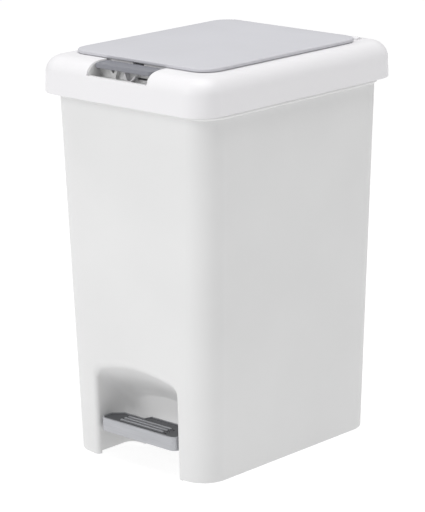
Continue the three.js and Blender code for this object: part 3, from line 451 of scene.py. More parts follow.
def alcove_solid(grow, mouth=ALCOVE_MOUTH):
    slices = []

    def add(inset, extra, narrow, drop):
        slope = min(max(inset, 0.0) / ALCOVE_DEPTH, 1.0)
        top = ALCOVE_FRONT_TOP - (ALCOVE_FRONT_TOP - ALCOVE_BACK_TOP) * slope - drop
        slices.append(alcove_slice(inset, ALCOVE_HALF + extra + grow - narrow, top + extra + grow))

    add(-8.0, mouth, 0.0, 0.0)
    for angle in quarter_turn(10):
        add(mouth * (1 - math.cos(angle)), mouth * (1 - math.sin(angle)), 0.0, 0.0)
    for angle in quarter_turn(16):
        narrow = ALCOVE_PLAN_CORNER * (1 - math.cos(angle))
        reach = ALCOVE_PLAN_CORNER * math.sin(angle)
        add(ALCOVE_DEPTH - ALCOVE_PLAN_CORNER + reach + grow, 0.0, narrow, narrow * 0.25)
    return loft(slices)


EAR_INNER, EAR_OUTER, EAR_RADIUS = 54.0, 61.0, 5.0


def hinge_ear(side):
    x0, x1 = side_range(side, EAR_INNER, EAR_OUTER)
    rear, front = lid_hinge.y + EAR_RADIUS, lid_hinge.y - EAR_RADIUS
    dome = [(lid_hinge.y + EAR_RADIUS * math.cos(t), lid_hinge.z + EAR_RADIUS * math.sin(t))
            for t in quarter_turn(14, 0.0, math.pi)]
    outline = [(RIM_HALF_Y - 1.5, BODY_HEIGHT - 34), (RIM_HALF_Y + 0.5, BODY_HEIGHT - 32),
               (rear, BODY_HEIGHT - 8)]
    outline += dome + [(front, BODY_HEIGHT), (RIM_HALF_Y - 1.5, BODY_HEIGHT)]
    return prism(outline, "X", x0, x1)


BLOCK_INNER, BLOCK_OUTER, BLOCK_HALF_Y, AXLE_SCREW = 38.0, 46.0, 15.0, 11.0
AXLE_RADIUS, FIT, SCREW_HOLE = 3.0, 0.35, 1.8


def axle_block(side):
    x0, x1 = side_range(side, BLOCK_INNER, BLOCK_OUTER)
    y, z = pedal_hinge.y, pedal_hinge.z
    block = box(x0, x1, y - BLOCK_HALF_Y, y + BLOCK_HALF_Y, z - 6, FLOOR_HEIGHT - 0.5)
    slot = AXLE_RADIUS + FIT
    holes = [bar("Z", SCREW_HOLE, z - 8, z + 6, (x0 + x1) / 2, y + end * AXLE_SCREW, 20) for end in (-1, 1)]
    bore = bar("X", slot, x0 - 1, x1 + 1, y, z)
    entry = box(x0 - 1, x1 + 1, y - slot, y + slot, z - 9, z)
    return cut(block, bore, entry, *holes)


COVER_SCREW_X = 16.0
COVER_SCREW_HEIGHTS = (70.0, BODY_HEIGHT - 55.0)


def each_cover_screw(make):
    return [make(side * COVER_SCREW_X, z) for z in COVER_SCREW_HEIGHTS for side in (-1, 1)]


def bin_body():
    outer_levels = [body_level(0.0, 1.4 * (math.sin(t) - 1), 1.4 * (1 - math.cos(t)))
                    for t in quarter_turn(5)]
    lip_low = BODY_HEIGHT - RIM_LIP_HEIGHT
    outer_levels += [body_level(z, 0.0) for z in (60.0, 140.0, 220.0, 300.0, lip_low - 1.6)]
    outer_levels += [body_level(lip_low, RIM_LIP - 0.5), body_level(lip_low + 0.5, RIM_LIP)]
    for t in quarter_turn(5):
        outer_levels.append(body_level(BODY_HEIGHT, RIM_LIP - 0.9 * (1 - math.cos(t)),
                                       BODY_HEIGHT - 0.9 * (1 - math.sin(t))))
    shell = loft(outer_levels, "bin_body")
    solid_again = loft([body_level(0.0, 0.0), body_level(BODY_HEIGHT, 0.0)])

    bag_levels = [body_level(FLOOR_HEIGHT, -WALL - 5 * (1 - math.sin(t)),
                             FLOOR_HEIGHT + 5 * (1 - math.cos(t)))
                  for t in quarter_turn(6)]
    bag_levels += [body_level(BODY_HEIGHT - 0.8, -WALL), body_level(BODY_HEIGHT + 0.2, -WALL + 1.0)]
    bag_levels.append(body_level(BODY_HEIGHT + 5, -WALL + 1.0))
    under = loft([body_level(FOOT_THICKNESS, -WALL), body_level(FLOOR_HEIGHT - WALL, -WALL)])
    foot = loft([body_level(-2.0, -FOOT_WIDTH), body_level(FOOT_THICKNESS + 0.5, -FOOT_WIDTH)])
    cut(shell, loft(bag_levels), under, foot)

    alcove_skin = common(alcove_solid(WALL), solid_again)
    channel_skin = common(
        box(-CHANNEL_HALF - WALL, CHANNEL_HALF + WALL, CHANNEL_FRONT - WALL, RIM_HALF_Y + 9,
            FLOOR_HEIGHT - WALL, BODY_HEIGHT),
        loft([body_level(0.0, 0.0), body_level(BODY_HEIGHT, 0.0)]),
    )
    bosses = each_cover_screw(lambda x, z: bar("Y", 4.0, rear_y(z) - 8, rear_y(z) - 1, x, z, 24))
    joined(shell, alcove_skin, channel_skin, *mirrored(hinge_ear), *mirrored(axle_block), *bosses)

    channel = box(-CHANNEL_HALF, CHANNEL_HALF, CHANNEL_FRONT, RIM_HALF_Y + 20, -2, BODY_HEIGHT + 20)
    lever_slot = box(-LEVER_SLOT_HALF, LEVER_SLOT_HALF, ALCOVE_BACK - 12, ALCOVE_BACK + 12, -2,
                     LEVER_SLOT_TOP)
    raised_edge = box(-ALCOVE_HALF - 9, ALCOVE_HALF + 9, FOOT_STEP - BASE_HALF_Y, ALCOVE_BACK + 12, -2,
                      FOOT_STEP_HEIGHT)
    pin_holes = mirrored(lambda side: bar("X", 2.35, *side_range(side, EAR_INNER - 1, EAR_OUTER + 1),
                                          lid_hinge.y, lid_hinge.z))
    screw_holes = each_cover_screw(lambda x, z: bar("Y", SCREW_HOLE, rear_y(z) - 6, rear_y(z) + 2, x, z, 20))
    cut(shell, alcove_solid(0.0), channel, lever_slot, raised_edge, *pin_holes, *screw_holes)
    return smooth(shell)


install(bin_body(), "body_shell", "bin", "white_body", "bin_body")


# ---------------------------------------------------------------- lid ring
def ring_level(z, grow):
    return rounded_level(RING_HALF_X + grow, RING_HALF_Y + grow, max(RING_CORNER + grow, 3.0), z)


def ring_solid(inset, bottom):
    radius = SHOULDER - inset
    levels = [ring_level(bottom + 0.8 * (1 - math.cos(t)), -inset - 0.6 * (1 - math.sin(t)))
              for t in quarter_turn(4)]
    for t in quarter_turn(18, 0.0, 1.45):
        offset = -inset - 0.6 - radius * (1 - math.cos(t))
        levels.append(ring_level(SHOULDER_START + radius * math.sin(t), offset))
    levels.append(ring_level(RING_TOP - inset, -LID_MARGIN_X))
    return loft(levels)


def lid_level(inset, z):
    return rounded_level(LID_HALF_X - inset, LID_HALF_Y - inset, max(LID_CORNER - inset, 2.0), z, LID_MID_Y)


def lid_prism(inset, z0, z1):
    return loft([lid_level(inset, z0), lid_level(inset, z1)])


FLAP_SLOT0 = LID_HALF_X - 25.5
FLAP_SLOT1 = FLAP_SLOT0 + 9.0
FLAP_BLOCK0 = FLAP_SLOT0 - 5.5
FLAP_BLOCK1 = FLAP_SLOT1 + 9.0
FLAP_BOSS = 4.5
HOUSING_SCREW_X = HOUSING_HALF + 6.0
HOUSING_SCREW_Y = BUTTON_FRONT + 11.0
LUG_Y, LUG_Z, LUG_RADIUS = lid_hinge.y - 15.0, lid_hinge.z - 12.0, 4.0


def ring_knuckle(side, inner):
    x0, x1 = side_range(side, inner, inner + 7.0)
    y, z = lid_hinge.y, lid_hinge.z
    web = [(y - 3, z + 3), (y + 3, z - 3), (RING_HALF_Y - 1, z - 3), (RING_HALF_Y - 1, RING_TOP),
           (y - 6, RING_TOP)]
    return joined(bar("X", 4.6, x0, x1, y, z), prism(web, "X", x0, x1))


def flap_block(side):
    x0, x1 = side_range(side, FLAP_BLOCK0, FLAP_BLOCK1)
    y, z = flap_hinge.y, flap_hinge.z
    dome = [(y + FLAP_BOSS * math.cos(t), z + FLAP_BOSS * math.sin(t))
            for t in quarter_turn(16, 0.0, math.pi)]
    block = prism([(y - FLAP_BOSS, RING_TOP - 9), (y + FLAP_BOSS, RING_TOP - 9)] + dome, "X", x0, x1)
    return soften(block, 0.6, 3)


def lid_ring():
    ring = cut(ring_solid(0.0, RING_BOTTOM), ring_solid(RING_WALL, RING_BOTTOM - 3))
    tray = lid_prism(RECESS_INSET - RING_WALL, RECESS_FLOOR - RING_WALL, RING_TOP - 1)
    collar = lid_prism(APERTURE_INSET - RING_WALL, RECESS_FLOOR - 10, RECESS_FLOOR)
    lug = joined(
        box(-5, 5, LUG_Y - LUG_RADIUS, LUG_Y + LUG_RADIUS, LUG_Z, RING_TOP),
        bar("X", LUG_RADIUS, -5, 5, LUG_Y, LUG_Z),
    )
    ribs = [box(*side_range(side, RIM_HALF_X - 3, RING_HALF_X), y - 1, y + 1, RING_BOTTOM, RING_TOP)
            for y in (-84, 0, 84) for side in (-1, 1)]
    ribs += [box(x - 1, x + 1, -RING_HALF_Y, 3 - RIM_HALF_Y, RING_BOTTOM, RING_TOP) for x in (-66, 66)]
    bosses = mirrored(lambda side: bar("Z", 3.6, HOUSING_FLOOR + FIT, RING_TOP, side * HOUSING_SCREW_X,
                                       HOUSING_SCREW_Y))
    knuckles = [ring_knuckle(side, inner) for side in (-1, 1) for inner in (EAR_INNER - 8, EAR_OUTER + 1)]
    inside = joined(tray, collar, lug, *ribs, *bosses, *knuckles)
    joined(ring, common(inside, ring_solid(0.8, RING_BOTTOM)), *mirrored(flap_block))

    far = RING_HALF_Y + 20
    cuts = [
        lid_prism(RECESS_INSET, RECESS_FLOOR, RING_TOP + 10),
        lid_prism(APERTURE_INSET, RECESS_FLOOR - 30, RING_TOP + 10),
        box(-RECESS_HALF, RECESS_HALF, -far, lid_low.y + 3, SILL, RING_TOP + 10),
        box(-7, 7, lid_low.y + 2, lid_low.y + RECESS_INSET + 1, RECESS_FLOOR + 0.3, RING_TOP + 5),
        box(16 - RING_HALF_X, RING_HALF_X - 16, lid_hinge.y - 2, far, RING_BOTTOM - 5, RING_BOTTOM + 5),
        box(-CHANNEL_HALF - 1, CHANNEL_HALF + 1, lid_hinge.y, far, RING_BOTTOM - 5, lid_hinge.z - 7),
    ]
    for side in (-1, 1):
        x0, x1 = side_range(side, EAR_INNER - 1, EAR_OUTER + 1)
        cuts.append(box(x0, x1, lid_hinge.y - 8, far, RING_BOTTOM - 5, lid_hinge.z + 5.5))
        x0, x1 = side_range(side, FLAP_SLOT0, FLAP_SLOT1)
        cuts.append(box(x0, x1, flap_hinge.y - 32, flap_hinge.y + 6.5, RING_TOP - 12, RING_TOP + 10))
        cuts.append(bar("X", 2.35, *side_range(side, 40, 80), lid_hinge.y, lid_hinge.z))
        x0, x1 = side_range(side, FLAP_BLOCK0 - 1, FLAP_BLOCK1 + 1)
        cuts.append(bar("X", 1.85, x0, x1, flap_hinge.y, flap_hinge.z, 24))
        cuts.append(bar("Z", SCREW_HOLE, HOUSING_FLOOR - 5, RING_TOP - 4, side * HOUSING_SCREW_X,
                        HOUSING_SCREW_Y, 20))
    return smooth(cut(ring, *cuts))


install(lid_ring(), "ring_shell", "lid_frame", "white_ring", "lid_ring")


# ---------------------------------------------------------------- inner lid
LID_SCREW_X = LID_HALF_X - 36.0
LID_SCREW_Y = LID_HALF_Y - 24.0


def each_lid_corner(make):
    return [make(sx * LID_SCREW_X, LID_MID_Y + sy * LID_SCREW_Y) for sy in (-1, 1) for sx in (-1, 1)]


def lid_panel():
    bottom, top = lid_low.z, lid_high.z
    levels = [lid_level(0.8 * (1 - math.sin(t)), bottom + 0.8 * (1 - math.cos(t))) for t in quarter_turn(4)]
    levels += [lid_level(1.2 * (1 - math.cos(t)), LID_EDGE_TOP - 1.2 * (1 - math.sin(t)))
               for t in quarter_turn(6)]
    for inset in (3.0, 6.0, 10.0, 15.0, 20.0, 25.0, 30.0):
        part = inset / 30.0
        levels.append(lid_level(inset, LID_EDGE_TOP + (top - LID_EDGE_TOP) * part * (2 - part)))
    panel = loft(levels)
    holes = each_lid_corner(lambda x, y: bar("Z", SCREW_HOLE, bottom - 1, LID_EDGE_TOP - 0.8, x, y, 20))
    return smooth(cut(panel, *holes))


install(lid_panel(), "inner_lid_panel", "inner_lid", "grey_lid", "lid_panel")


def flap_arm(side):
    x0, x1 = side_range(side, FLAP_SLOT0 + 0.4, FLAP_SLOT0 + 4.0)
    y, z = flap_hinge.y, flap_hinge.z
    outline = [(y - 42, LINER_BOTTOM + 1), (y - 4, z - 3.4), (y, z - 4), (y, z + 2), (y - 42, z + 2)]
    return joined(prism(outline, "X", x0, x1), bar("X", 4.0, x0, x1, y, z))


def lid_liner():
    plate = LINER_TOP - 2.3
    liner = cut(lid_prism(LINER_INSET, LINER_BOTTOM, LINER_TOP),
                lid_prism(LINER_INSET + 1.8, LINER_BOTTOM - 1, plate))
    ribs = [box(-66, 66, y - 0.8, y + 0.8, plate - 1.6, plate + 0.5) for y in (-45, LID_MID_Y, 40)]
    ribs.append(box(-0.8, 0.8, -82, 78, plate - 1.6, plate + 0.5))
    notch = box(-6.4, 6.4, lid_low.y, lid_low.y + LINER_INSET + 3, LINER_BOTTOM - 1, LINER_BOTTOM + 2.2)
    cut(liner, notch)
    joined(liner, *ribs, *mirrored(flap_arm))
    holes = each_lid_corner(lambda x, y: bar("Z", SCREW_HOLE, LINER_BOTTOM - 1, LINER_TOP + 1, x, y, 20))
    bores = mirrored(lambda side: bar("X", 1.85, *side_range(side, FLAP_SLOT0, FLAP_SLOT1),
                                      flap_hinge.y, flap_hinge.z, 24))
    return smooth(cut(liner, *holes, *bores))


install(lid_liner(), "inner_lid_liner", "inner_lid", "white_ring", "lid_liner")


# ---------------------------------------------------------------- latch housing and button
def inner_half():
    return HOUSING_HALF - 1.0


def forked_post():
    x, base = -19.0, HOUSING_FLOOR - 0.5
    outline = [(x - 2, base), (x + 4, base), (x + 4.5, base + 4), (x + 7, base + 9), (x + 3.5, base + 9),
               (x + 1, base + 5.5), (x - 2, base + 9), (x - 5.5, base + 9), (x - 2.2, base + 4)]
    return prism(outline, "Y", PANEL_Y - 5.5, PANEL_Y - 1.5)


def latch_housing():
    front, rear = HOUSING_FRONT, lid_low.y + 2.6
    half = inner_half()
    tray = box(-HOUSING_HALF, HOUSING_HALF, front, rear, HOUSING_FLOOR - 2, RING_TOP)
    common(tray, ring_solid(0.5, RING_BOTTOM))
    skin = cut(ring_solid(-1.0, RING_BOTTOM), ring_solid(RING_WALL + 0.4, RING_BOTTOM - 3))
    common(skin, box(-60, 60, -RING_HALF_Y - 5, rear, RING_BOTTOM - 5, SILL + FIT))
    cut(
        tray,
        skin,
        box(-half, half, front + 2, rear + 5, HOUSING_FLOOR, RING_TOP + 5),
        box(-half, half, front - 3, front + 3, SILL, RING_TOP + 5),
        box(-50, 50, lid_low.y - 1, rear + 5, button_hinge.z + 4, RING_TOP + 5),
    )
    pivots = mirrored(lambda side: box(*side_range(side, 31.0, half + 0.5), button_hinge.y - 3.2, rear,
                                       HOUSING_FLOOR - 0.5, button_hinge.z + 3.2))
    panel = box(-half - 0.5, half + 0.5, PANEL_Y - 1.5, PANEL_Y, HOUSING_FLOOR - 0.5, RING_TOP - 8)
    tabs = mirrored(lambda side: box(*side_range(side, HOUSING_HALF - 1, HOUSING_SCREW_X + 4.5),
                                     HOUSING_SCREW_Y - 5, HOUSING_SCREW_Y + 5,
                                     HOUSING_FLOOR - 2, HOUSING_FLOOR))
    joined(tray, *pivots, panel, forked_post(), *tabs)
    slot = box(10, 28, PANEL_Y - 3, PANEL_Y + 2, HOUSING_FLOOR + 2.2, HOUSING_FLOOR + 4.4)
    pin = bar("X", 1.85, -half - 1, half + 1, button_hinge.y, button_hinge.z, 24)
    holes = mirrored(lambda side: bar("Z", SCREW_HOLE, HOUSING_FLOOR - 3, HOUSING_FLOOR + 1,
                                      side * HOUSING_SCREW_X, HOUSING_SCREW_Y, 20))
    return smooth(cut(tray, slot, pin, *holes))


install(latch_housing(), "latch_tray", "lid_frame", "grey_housing", "latch_housing")


def press_button():
    bottom = BUTTON_TOP - BUTTON_HEIGHT
    half_y = (BUTTON_REAR - BUTTON_FRONT) / 2
    middle = (BUTTON_REAR + BUTTON_FRONT) / 2

    def level(inset, z):
        return rounded_level(BUTTON_HALF - inset, half_y - inset, max(BUTTON_CORNER - inset, 0.6), z, middle)

    levels = [level(0.5 * (1 - math.sin(t)), bottom + 0.5 * (1 - math.cos(t))) for t in quarter_turn(3)]
    levels += [level(1.0 * (1 - math.cos(t)), BUTTON_TOP - 1.0 * (1 - math.sin(t))) for t in quarter_turn(6)]
    levels += [level(2.6, BUTTON_TOP), level(3.2, BUTTON_TOP - 0.5), level(6.0, BUTTON_TOP - 0.5)]
    button = loft(levels)
    plate = BUTTON_TOP - 2.2
    inner_x = BUTTON_HALF - 2.2
    cut(button, box(-inner_x, inner_x, BUTTON_FRONT + 2.2, BUTTON_FRONT + 60, bottom - 1, plate))
    y, z = button_hinge.y, button_hinge.z
    arm = [(y - 3, z), (y + 3, z), (y - 1.2, plate + 0.5), (y - 6, plate + 0.5)]
    arms = mirrored(lambda side: joined(prism(arm, "X", *side_range(side, 27.0, 30.45)),
                                        bar("X", 3.0, *side_range(side, 27.0, 30.45), y, z)))
    hook_low = LINER_BOTTOM + 1.8 + FIT
    tip = lid_low.y + 5.1 - 0.4
    hook = prism([(lid_low.y - 3, hook_low), (tip, hook_low), (tip, hook_low + 2),
                  (lid_low.y - 1, BUTTON_TOP - 0.3),
                  (lid_low.y - 1.4, plate + 0.5), (lid_low.y - 5, plate + 0.5)], "X", -5, 5)
    joined(button, *arms, hook)
    bores = mirrored(lambda side: bar("X", 1.85, *side_range(side, 26, 31), y, z, 24))
    return smooth(cut(button, *bores))


install(press_button(), "press_bar", "latch_button", "grey_button", "press_button")


# ---------------------------------------------------------------- pedal
TREAD_RIM, TREAD_WALL = 1.6, 2.2
PEDAL_TOP = pedal_high.z - 0.6
PEDAL_HALF = pedal_high.x
PEDAL_FRONT = pedal_low.y
TREAD_DEEP, TREAD_SHALLOW, TREAD_STEP = 34.0, 26.0, -14.0
PEDAL_CORNER = 7.0
PLATE_TOP = PEDAL_TOP - 2.3
PLATE_BOTTOM = PLATE_TOP - 2.4
RIB_HALF, RIB_WIDTH, RIB_PITCH, RIB_FIRST = 29.5, 2.4, 5.6, 7.6
PAD_DROP, DRAIN_RADIUS = 0.9, 1.2
PEDAL_SCREW_X, PEDAL_SCREW_Y = 38.0, PEDAL_FRONT + 18.0


def tread_outline(inset):
    """The pedal seen from above, drawn inwards by an inset."""
    x, front, radius = PEDAL_HALF - inset, PEDAL_FRONT + inset, PEDAL_CORNER - inset
    deep, shallow = PEDAL_FRONT + TREAD_DEEP - inset, PEDAL_FRONT + TREAD_SHALLOW - inset
    step = TREAD_STEP + inset
    right = [(x - radius + radius * math.sin(t), front + radius - radius * math.cos(t))
             for t in quarter_turn(12)]
    left = [(-px, py) for px, py in reversed(right)]
    rear = [(x, deep - 9), (x - 9, deep), (step + 2, deep), (step, shallow), (9 - x, shallow),
            (-x, shallow - 9)]
    return right + rear + left


def rib_outline(row, grow):
    """A rib with round ends, seen from above."""
    y = PEDAL_FRONT + RIB_FIRST + row * RIB_PITCH
    radius = RIB_WIDTH / 2 + grow
    reach = RIB_HALF - RIB_WIDTH / 2
    right = [(reach + radius * math.cos(t), y + radius * math.sin(t)) for t in quarter_turn(12, -math.pi / 2)]
    return right + [(-px, 2 * y - py) for px, py in right]


def pedal_cover():
    cover = prism(tread_outline(0.0), "Z", pedal_low.z, PEDAL_TOP)
    soften(cover, 0.7, 3, 60.0)
    far = PEDAL_HALF + 1
    cut(
        cover,
        prism(tread_outline(TREAD_RIM), "Z", PLATE_TOP, PEDAL_TOP + 1),
        prism(tread_outline(TREAD_WALL), "Z", pedal_low.z - 1, PLATE_BOTTOM),
        box(-far, far, PEDAL_FRONT + PEDAL_CORNER, PEDAL_FRONT + 60, 0, PLATE_BOTTOM - 3),
        box(-far, far, PEDAL_FRONT + TREAD_SHALLOW - 10, PEDAL_FRONT + 60, 0, PLATE_BOTTOM),
        *mirrored(lambda side: bar("Z", SCREW_HOLE, PLATE_BOTTOM - 1, PLATE_BOTTOM + 2, side * PEDAL_SCREW_X,
                                   PEDAL_SCREW_Y, 20)),
    )
    ribs = [soften(prism(rib_outline(row, 0.0), "Z", PLATE_TOP - 0.5, pedal_high.z), 0.5, 3)
            for row in range(3)]
    return smooth(joined(cover, *ribs))


def pedal_pad():
    pad = prism(tread_outline(TREAD_RIM + FIT), "Z", PLATE_TOP + FIT, PEDAL_TOP - PAD_DROP)
    for row in range(3):
        y = PEDAL_FRONT + RIB_FIRST + row * RIB_PITCH
        cut(pad, prism(rib_outline(row, FIT), "Z", PLATE_TOP, PEDAL_TOP + 1))
        cut(pad, bar("Z", DRAIN_RADIUS, PLATE_TOP, PEDAL_TOP + 1, RIB_HALF + 3, y, 20))
    return smooth(pad)


install(pedal_cover(), "pedal_shell", "pedal", "silver", "pedal_cover")
install(pedal_pad(), "pedal_inlay", "pedal", "dark_pad", "pedal_pad")


# ---------------------------------------------------------------- rod cover
def rod_cover():
    bottom, top, half = cover_low.z, cover_high.z, cover_high.x
    levels = []
    for z in (bottom, bottom + 1.2, top - 1.2, top):
        end = 1.2 if z in (bottom, top) else 0.0
        inner, outer = rear_y(z) + FIT, rear_y(z) + FIT + 2.0
        levels.append([(end - half, inner, z), (half - end, inner, z), (half - end, outer - 0.5, z),
                       (half - end - 0.8, outer, z), (end + 0.8 - half, outer, z),
                       (end - half, outer - 0.5, z)])
    holes = each_cover_screw(lambda x, z: bar("Y", SCREW_HOLE, rear_y(z) - 2, rear_y(z) + 5, x, z, 20))
    return smooth(cut(loft(levels), *holes))


install(rod_cover(), "rod_cover_strip", "bin", "white_body", "rod_cover")


# ---------------------------------------------------------------- springs
def wire(points, radius, name):
    """A round wire along a path of points in millimetres, as a mesh."""
    curve = bpy.data.curves.new(name, "CURVE")
    curve.dimensions = "3D"
    curve.bevel_depth = radius * MM
    curve.bevel_resolution = 4
    curve.use_fill_caps = True
    spline = curve.splines.new("POLY")
    spline.points.add(len(points) - 1)
    for target, point in zip(spline.points, points):
        target.co = (point[0] * MM, point[1] * MM, point[2] * MM, 1.0)
    obj = bpy.data.objects.new(name, curve)
    bpy.context.scene.collection.objects.link(obj)
    depsgraph = bpy.context.evaluated_depsgraph_get()
    mesh = bpy.data.meshes.new_from_object(obj.evaluated_get(depsgraph))
    bpy.data.objects.remove(obj)
    made = bpy.data.objects.new(name, mesh)
    bpy.context.scene.collection.objects.link(made)
    return made


def flap_spring(side):
    low, high = corners("flap_spring_right")
    turns, steps = 4, 24
    inner, outer = low.x + 0.5, high.x - 0.5
    radius = (high.z - low.z) / 2 - 0.5
    points = []
    for step in range(turns * steps + 1):
        angle = 2 * math.pi * step / steps
        x = inner + (outer - inner) * step / (turns * steps)
        y, z = flap_hinge.y + radius * math.cos(angle), flap_hinge.z + radius * math.sin(angle)
        points.append((side * x, y, z))
    return smooth(wire(points, 0.42, "flap_coil"), 60.0)


for place, side in (("left", -1), ("right", 1)):
    install(flap_spring(side), f"flap_coil_{place}", "lid_frame", "steel", f"flap_spring_{place}")


def button_spring():
    """A bent V leaf between the housing's floor and the button."""
    low, high = spring_low.z, spring_high.z
    thickness = 0.8
    outline = [(-8, high - thickness), (-2, high - thickness), (3, low), (8, low), (14, high - 6),
               (14, high - 6 + thickness), (13, high - 6 + thickness), (7.5, low + thickness),
               (3.5, low + thickness), (-1.4, high), (-8, high)]
    leaf = prism(outline, "Y", spring_low.y, spring_high.y)
    return smooth(soften(leaf, 0.2, 2, 20.0))


leaf_piece = button_spring()
install(leaf_piece, "button_leaf", "lid_frame", "white_ring", "button_spring")
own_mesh(leaf_piece)


# ---------------------------------------------------------------- screws
def screw_mesh(length):
    """A pan-head screw with a cross recess, its head's top at the origin and its shank along +Z."""
    head, shank = 3.0, 1.45
    profile = [(0.9 * head * math.sin(t), 0.55 * (1 - math.cos(t))) for t in quarter_turn(5)][1:]
    profile += [(head, 0.85), (head, 1.6), (shank, 1.6)]
    pitch = 0.9
    threads = int((length - 3.2) / pitch)
    for turn in range(threads):
        z = 1.9 + turn * pitch
        profile += [(shank - 0.22, z), (shank, z + pitch / 2), (shank - 0.22, z + pitch * 0.95)]
    profile += [(shank * 0.5, length)]
    levels = [[(r * math.cos(t), r * math.sin(t), z) for t in (2 * math.pi * i / 28 for i in range(28))]
              for r, z in profile]
    screw = loft(levels, "screw")
    cut(screw, box(-1.9, 1.9, -0.35, 0.35, -1, 1.1), box(-0.35, 0.35, -1.9, 1.9, -1, 1.1))
    return smooth(screw, 40.0)


def place_screws(length, places, body):
    """Puts one screw mesh at each named place: (node, head top in millimetres, points to the front)."""
    pattern = screw_mesh(length)
    for node, spot, forward in places:
        copy = pattern.copy()
        copy.data = pattern.data.copy()
        bpy.context.scene.collection.objects.link(copy)
        turn = Matrix.Rotation(math.pi / 2, 4, "X") if forward else Matrix.Identity(4)
        copy.matrix_world = Matrix.Translation(Vector(spot) * MM) @ turn
        install(copy, f"{node}_piece", body, "steel", node)
    bpy.data.objects.remove(pattern)


def head_spot(node, forward=False):
    """Where a CAD screw's head ends: its lowest point, or its rearmost one."""
    low, high = corners(node)
    middle = (low + high) / 2
    return (middle.x, high.y, middle.z) if forward else (middle.x, middle.y, low.z)


def screws(length, names, body, forward=False):
    place_screws(length, [(name, head_spot(name, forward), forward) for name in names], body)


SIDES = ("left", "right")
screws(14.0, [f"axle_screw_{side}_{end}" for side in SIDES for end in ("front", "rear")], "bin")
screws(9.0, [f"cover_screw_{side}_{end}" for side in SIDES for end in ("lower", "upper")], "bin", True)
screws(6.8, [f"pedal_screw_{side}" for side in SIDES], "pedal")
screws(11.0, [f"housing_screw_{side}" for side in SIDES], "lid_frame")
screws(6.5, [f"liner_screw_{end}_{side}" for end in ("front", "rear") for side in SIDES], "inner_lid")


# ---------------------------------------------------------------- CAD nodes that stay
def keep(node, slot, edge=0.3, angle=30.0):
    """A CAD node whose shape is right: rounded edges and its finish."""
    obj = frame["nodes"][node]
    for index in range(max(len(obj.material_slots), 1)):
        if obj.material_slots:
            obj.material_slots[index].link = "OBJECT"
            obj.material_slots[index].material = FINISH[slot]
    bevel = obj.modifiers.new("edge", "BEVEL")
    bevel.width = edge * MM
    bevel.segments = 2
    bevel.limit_method = "ANGLE"
    bevel.angle_limit = math.radians(40)
    return obj


for side in SIDES:
    keep(f"axle_clip_{side}", "black_plastic")
    keep(f"lever_bush_{side}", "white_ring", 0.2)
    keep(f"lid_hinge_pin_{side}", "steel", 0.3)
    keep(f"flap_pin_{side}", "steel", 0.2)
keep("pedal_axle", "steel", 0.4)
keep("button_pin", "steel", 0.2)
keep("pedal_lever", "black_plastic", 0.5)
keep("push_rod", "steel", 0.3)
keep("rod_head", "black_plastic")
keep("rod_shoe", "black_plastic")
keep("rod_guide_lower", "black_plastic")
keep("rod_guide_upper", "black_plastic")
keep("lid_catch", "grey_housing", 0.2)


# ---------------------------------------------------------------- camera, floor and light
AZIMUTH, ELEVATION, ROLL = math.radians(43.0), math.radians(15.1), math.radians(-0.8)
DISTANCE = 2.479
LENS = 173.9
AIM = Vector((0.0, 0.0, 0.2025))
SHIFT_RIGHT, SHIFT_UP = -0.0086, -0.0124


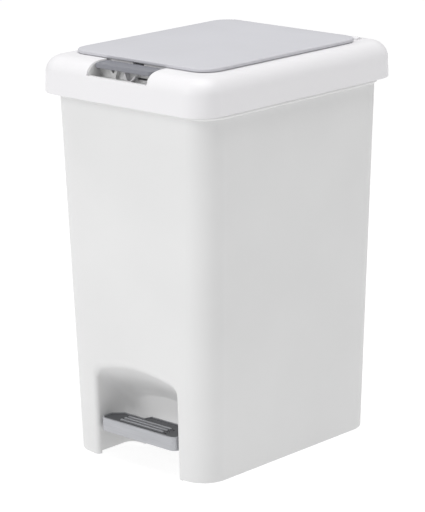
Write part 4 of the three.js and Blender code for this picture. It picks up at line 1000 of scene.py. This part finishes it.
def add_camera():
    back = Vector((math.sin(AZIMUTH) * math.cos(ELEVATION), -math.cos(AZIMUTH) * math.cos(ELEVATION),
                   math.sin(ELEVATION)))
    right = Vector((math.cos(AZIMUTH), math.sin(AZIMUTH), 0.0))
    up = back.cross(right)
    spot = AIM + right * SHIFT_RIGHT + up * SHIFT_UP + back * DISTANCE
    rolled_right = right * math.cos(ROLL) + up * math.sin(ROLL)
    rolled_up = up * math.cos(ROLL) - right * math.sin(ROLL)
    data = bpy.data.cameras.new("camera")
    data.lens = LENS
    data.sensor_fit = "VERTICAL"
    data.sensor_height = 36.0
    data.clip_start = 0.1
    camera = bpy.data.objects.new("camera", data)
    bpy.context.scene.collection.objects.link(camera)
    basis = Matrix((rolled_right, rolled_up, back)).transposed().to_4x4()
    camera.matrix_world = Matrix.Translation(spot) @ basis
    bpy.context.scene.camera = camera


def add_floor():
    """A pale lit table: bright enough that the object leaves no shadow on it."""
    surface = Surface("floor")
    shade = surface.ramp(surface.noise(3.0, 2.0), colour(134, 134, 134), colour(140, 140, 140))
    surface.links.new(shade, surface.shader.inputs["Base Color"])
    surface.shader.inputs["Roughness"].default_value = 0.9
    surface.shader.inputs["Specular IOR Level"].default_value = 0.1
    surface.shader.inputs["Emission Color"].default_value = (1.0, 1.0, 1.0, 1.0)
    surface.shader.inputs["Emission Strength"].default_value = FLOOR_GLOW
    floor = prism(circle(6000.0, 0.0, 0.0, 96), "Z", -20.0, 0.0, "floor")
    floor.data.materials.append(surface.material)


def add_area(name, spot, size, power, target=(0.0, 0.0, 0.2)):
    data = bpy.data.lights.new(name, "AREA")
    data.shape = "RECTANGLE"
    data.size, data.size_y = size
    data.energy = power
    lamp = bpy.data.objects.new(name, data)
    bpy.context.scene.collection.objects.link(lamp)
    direction = Vector(target) - Vector(spot)
    lamp.rotation_euler = direction.to_track_quat("-Z", "Y").to_euler()
    lamp.location = spot


def add_world(strength):
    world = bpy.data.worlds.new("studio")
    world.use_nodes = True
    background = world.node_tree.nodes["Background"]
    background.inputs["Color"].default_value = (1.0, 1.0, 1.0, 1.0)
    background.inputs["Strength"].default_value = strength
    bpy.context.scene.world = world


FLOOR_GLOW = 0.86
WORLD_STRENGTH = 0.43

add_camera()
add_floor()
add_world(WORLD_STRENGTH)
KEY_SPOT, KEY_SIZE, KEY_WATTS = (-0.9, -2.6, 1.6), (1.4, 1.4), 30.0
TOP_SPOT, TOP_SIZE, TOP_WATTS = (0.35, 0.1, 2.6), (1.6, 1.6), 36.0
add_area("key", KEY_SPOT, KEY_SIZE, KEY_WATTS)
add_area("top", TOP_SPOT, TOP_SIZE, TOP_WATTS)
bpy.context.scene.view_settings.view_transform = "Standard"
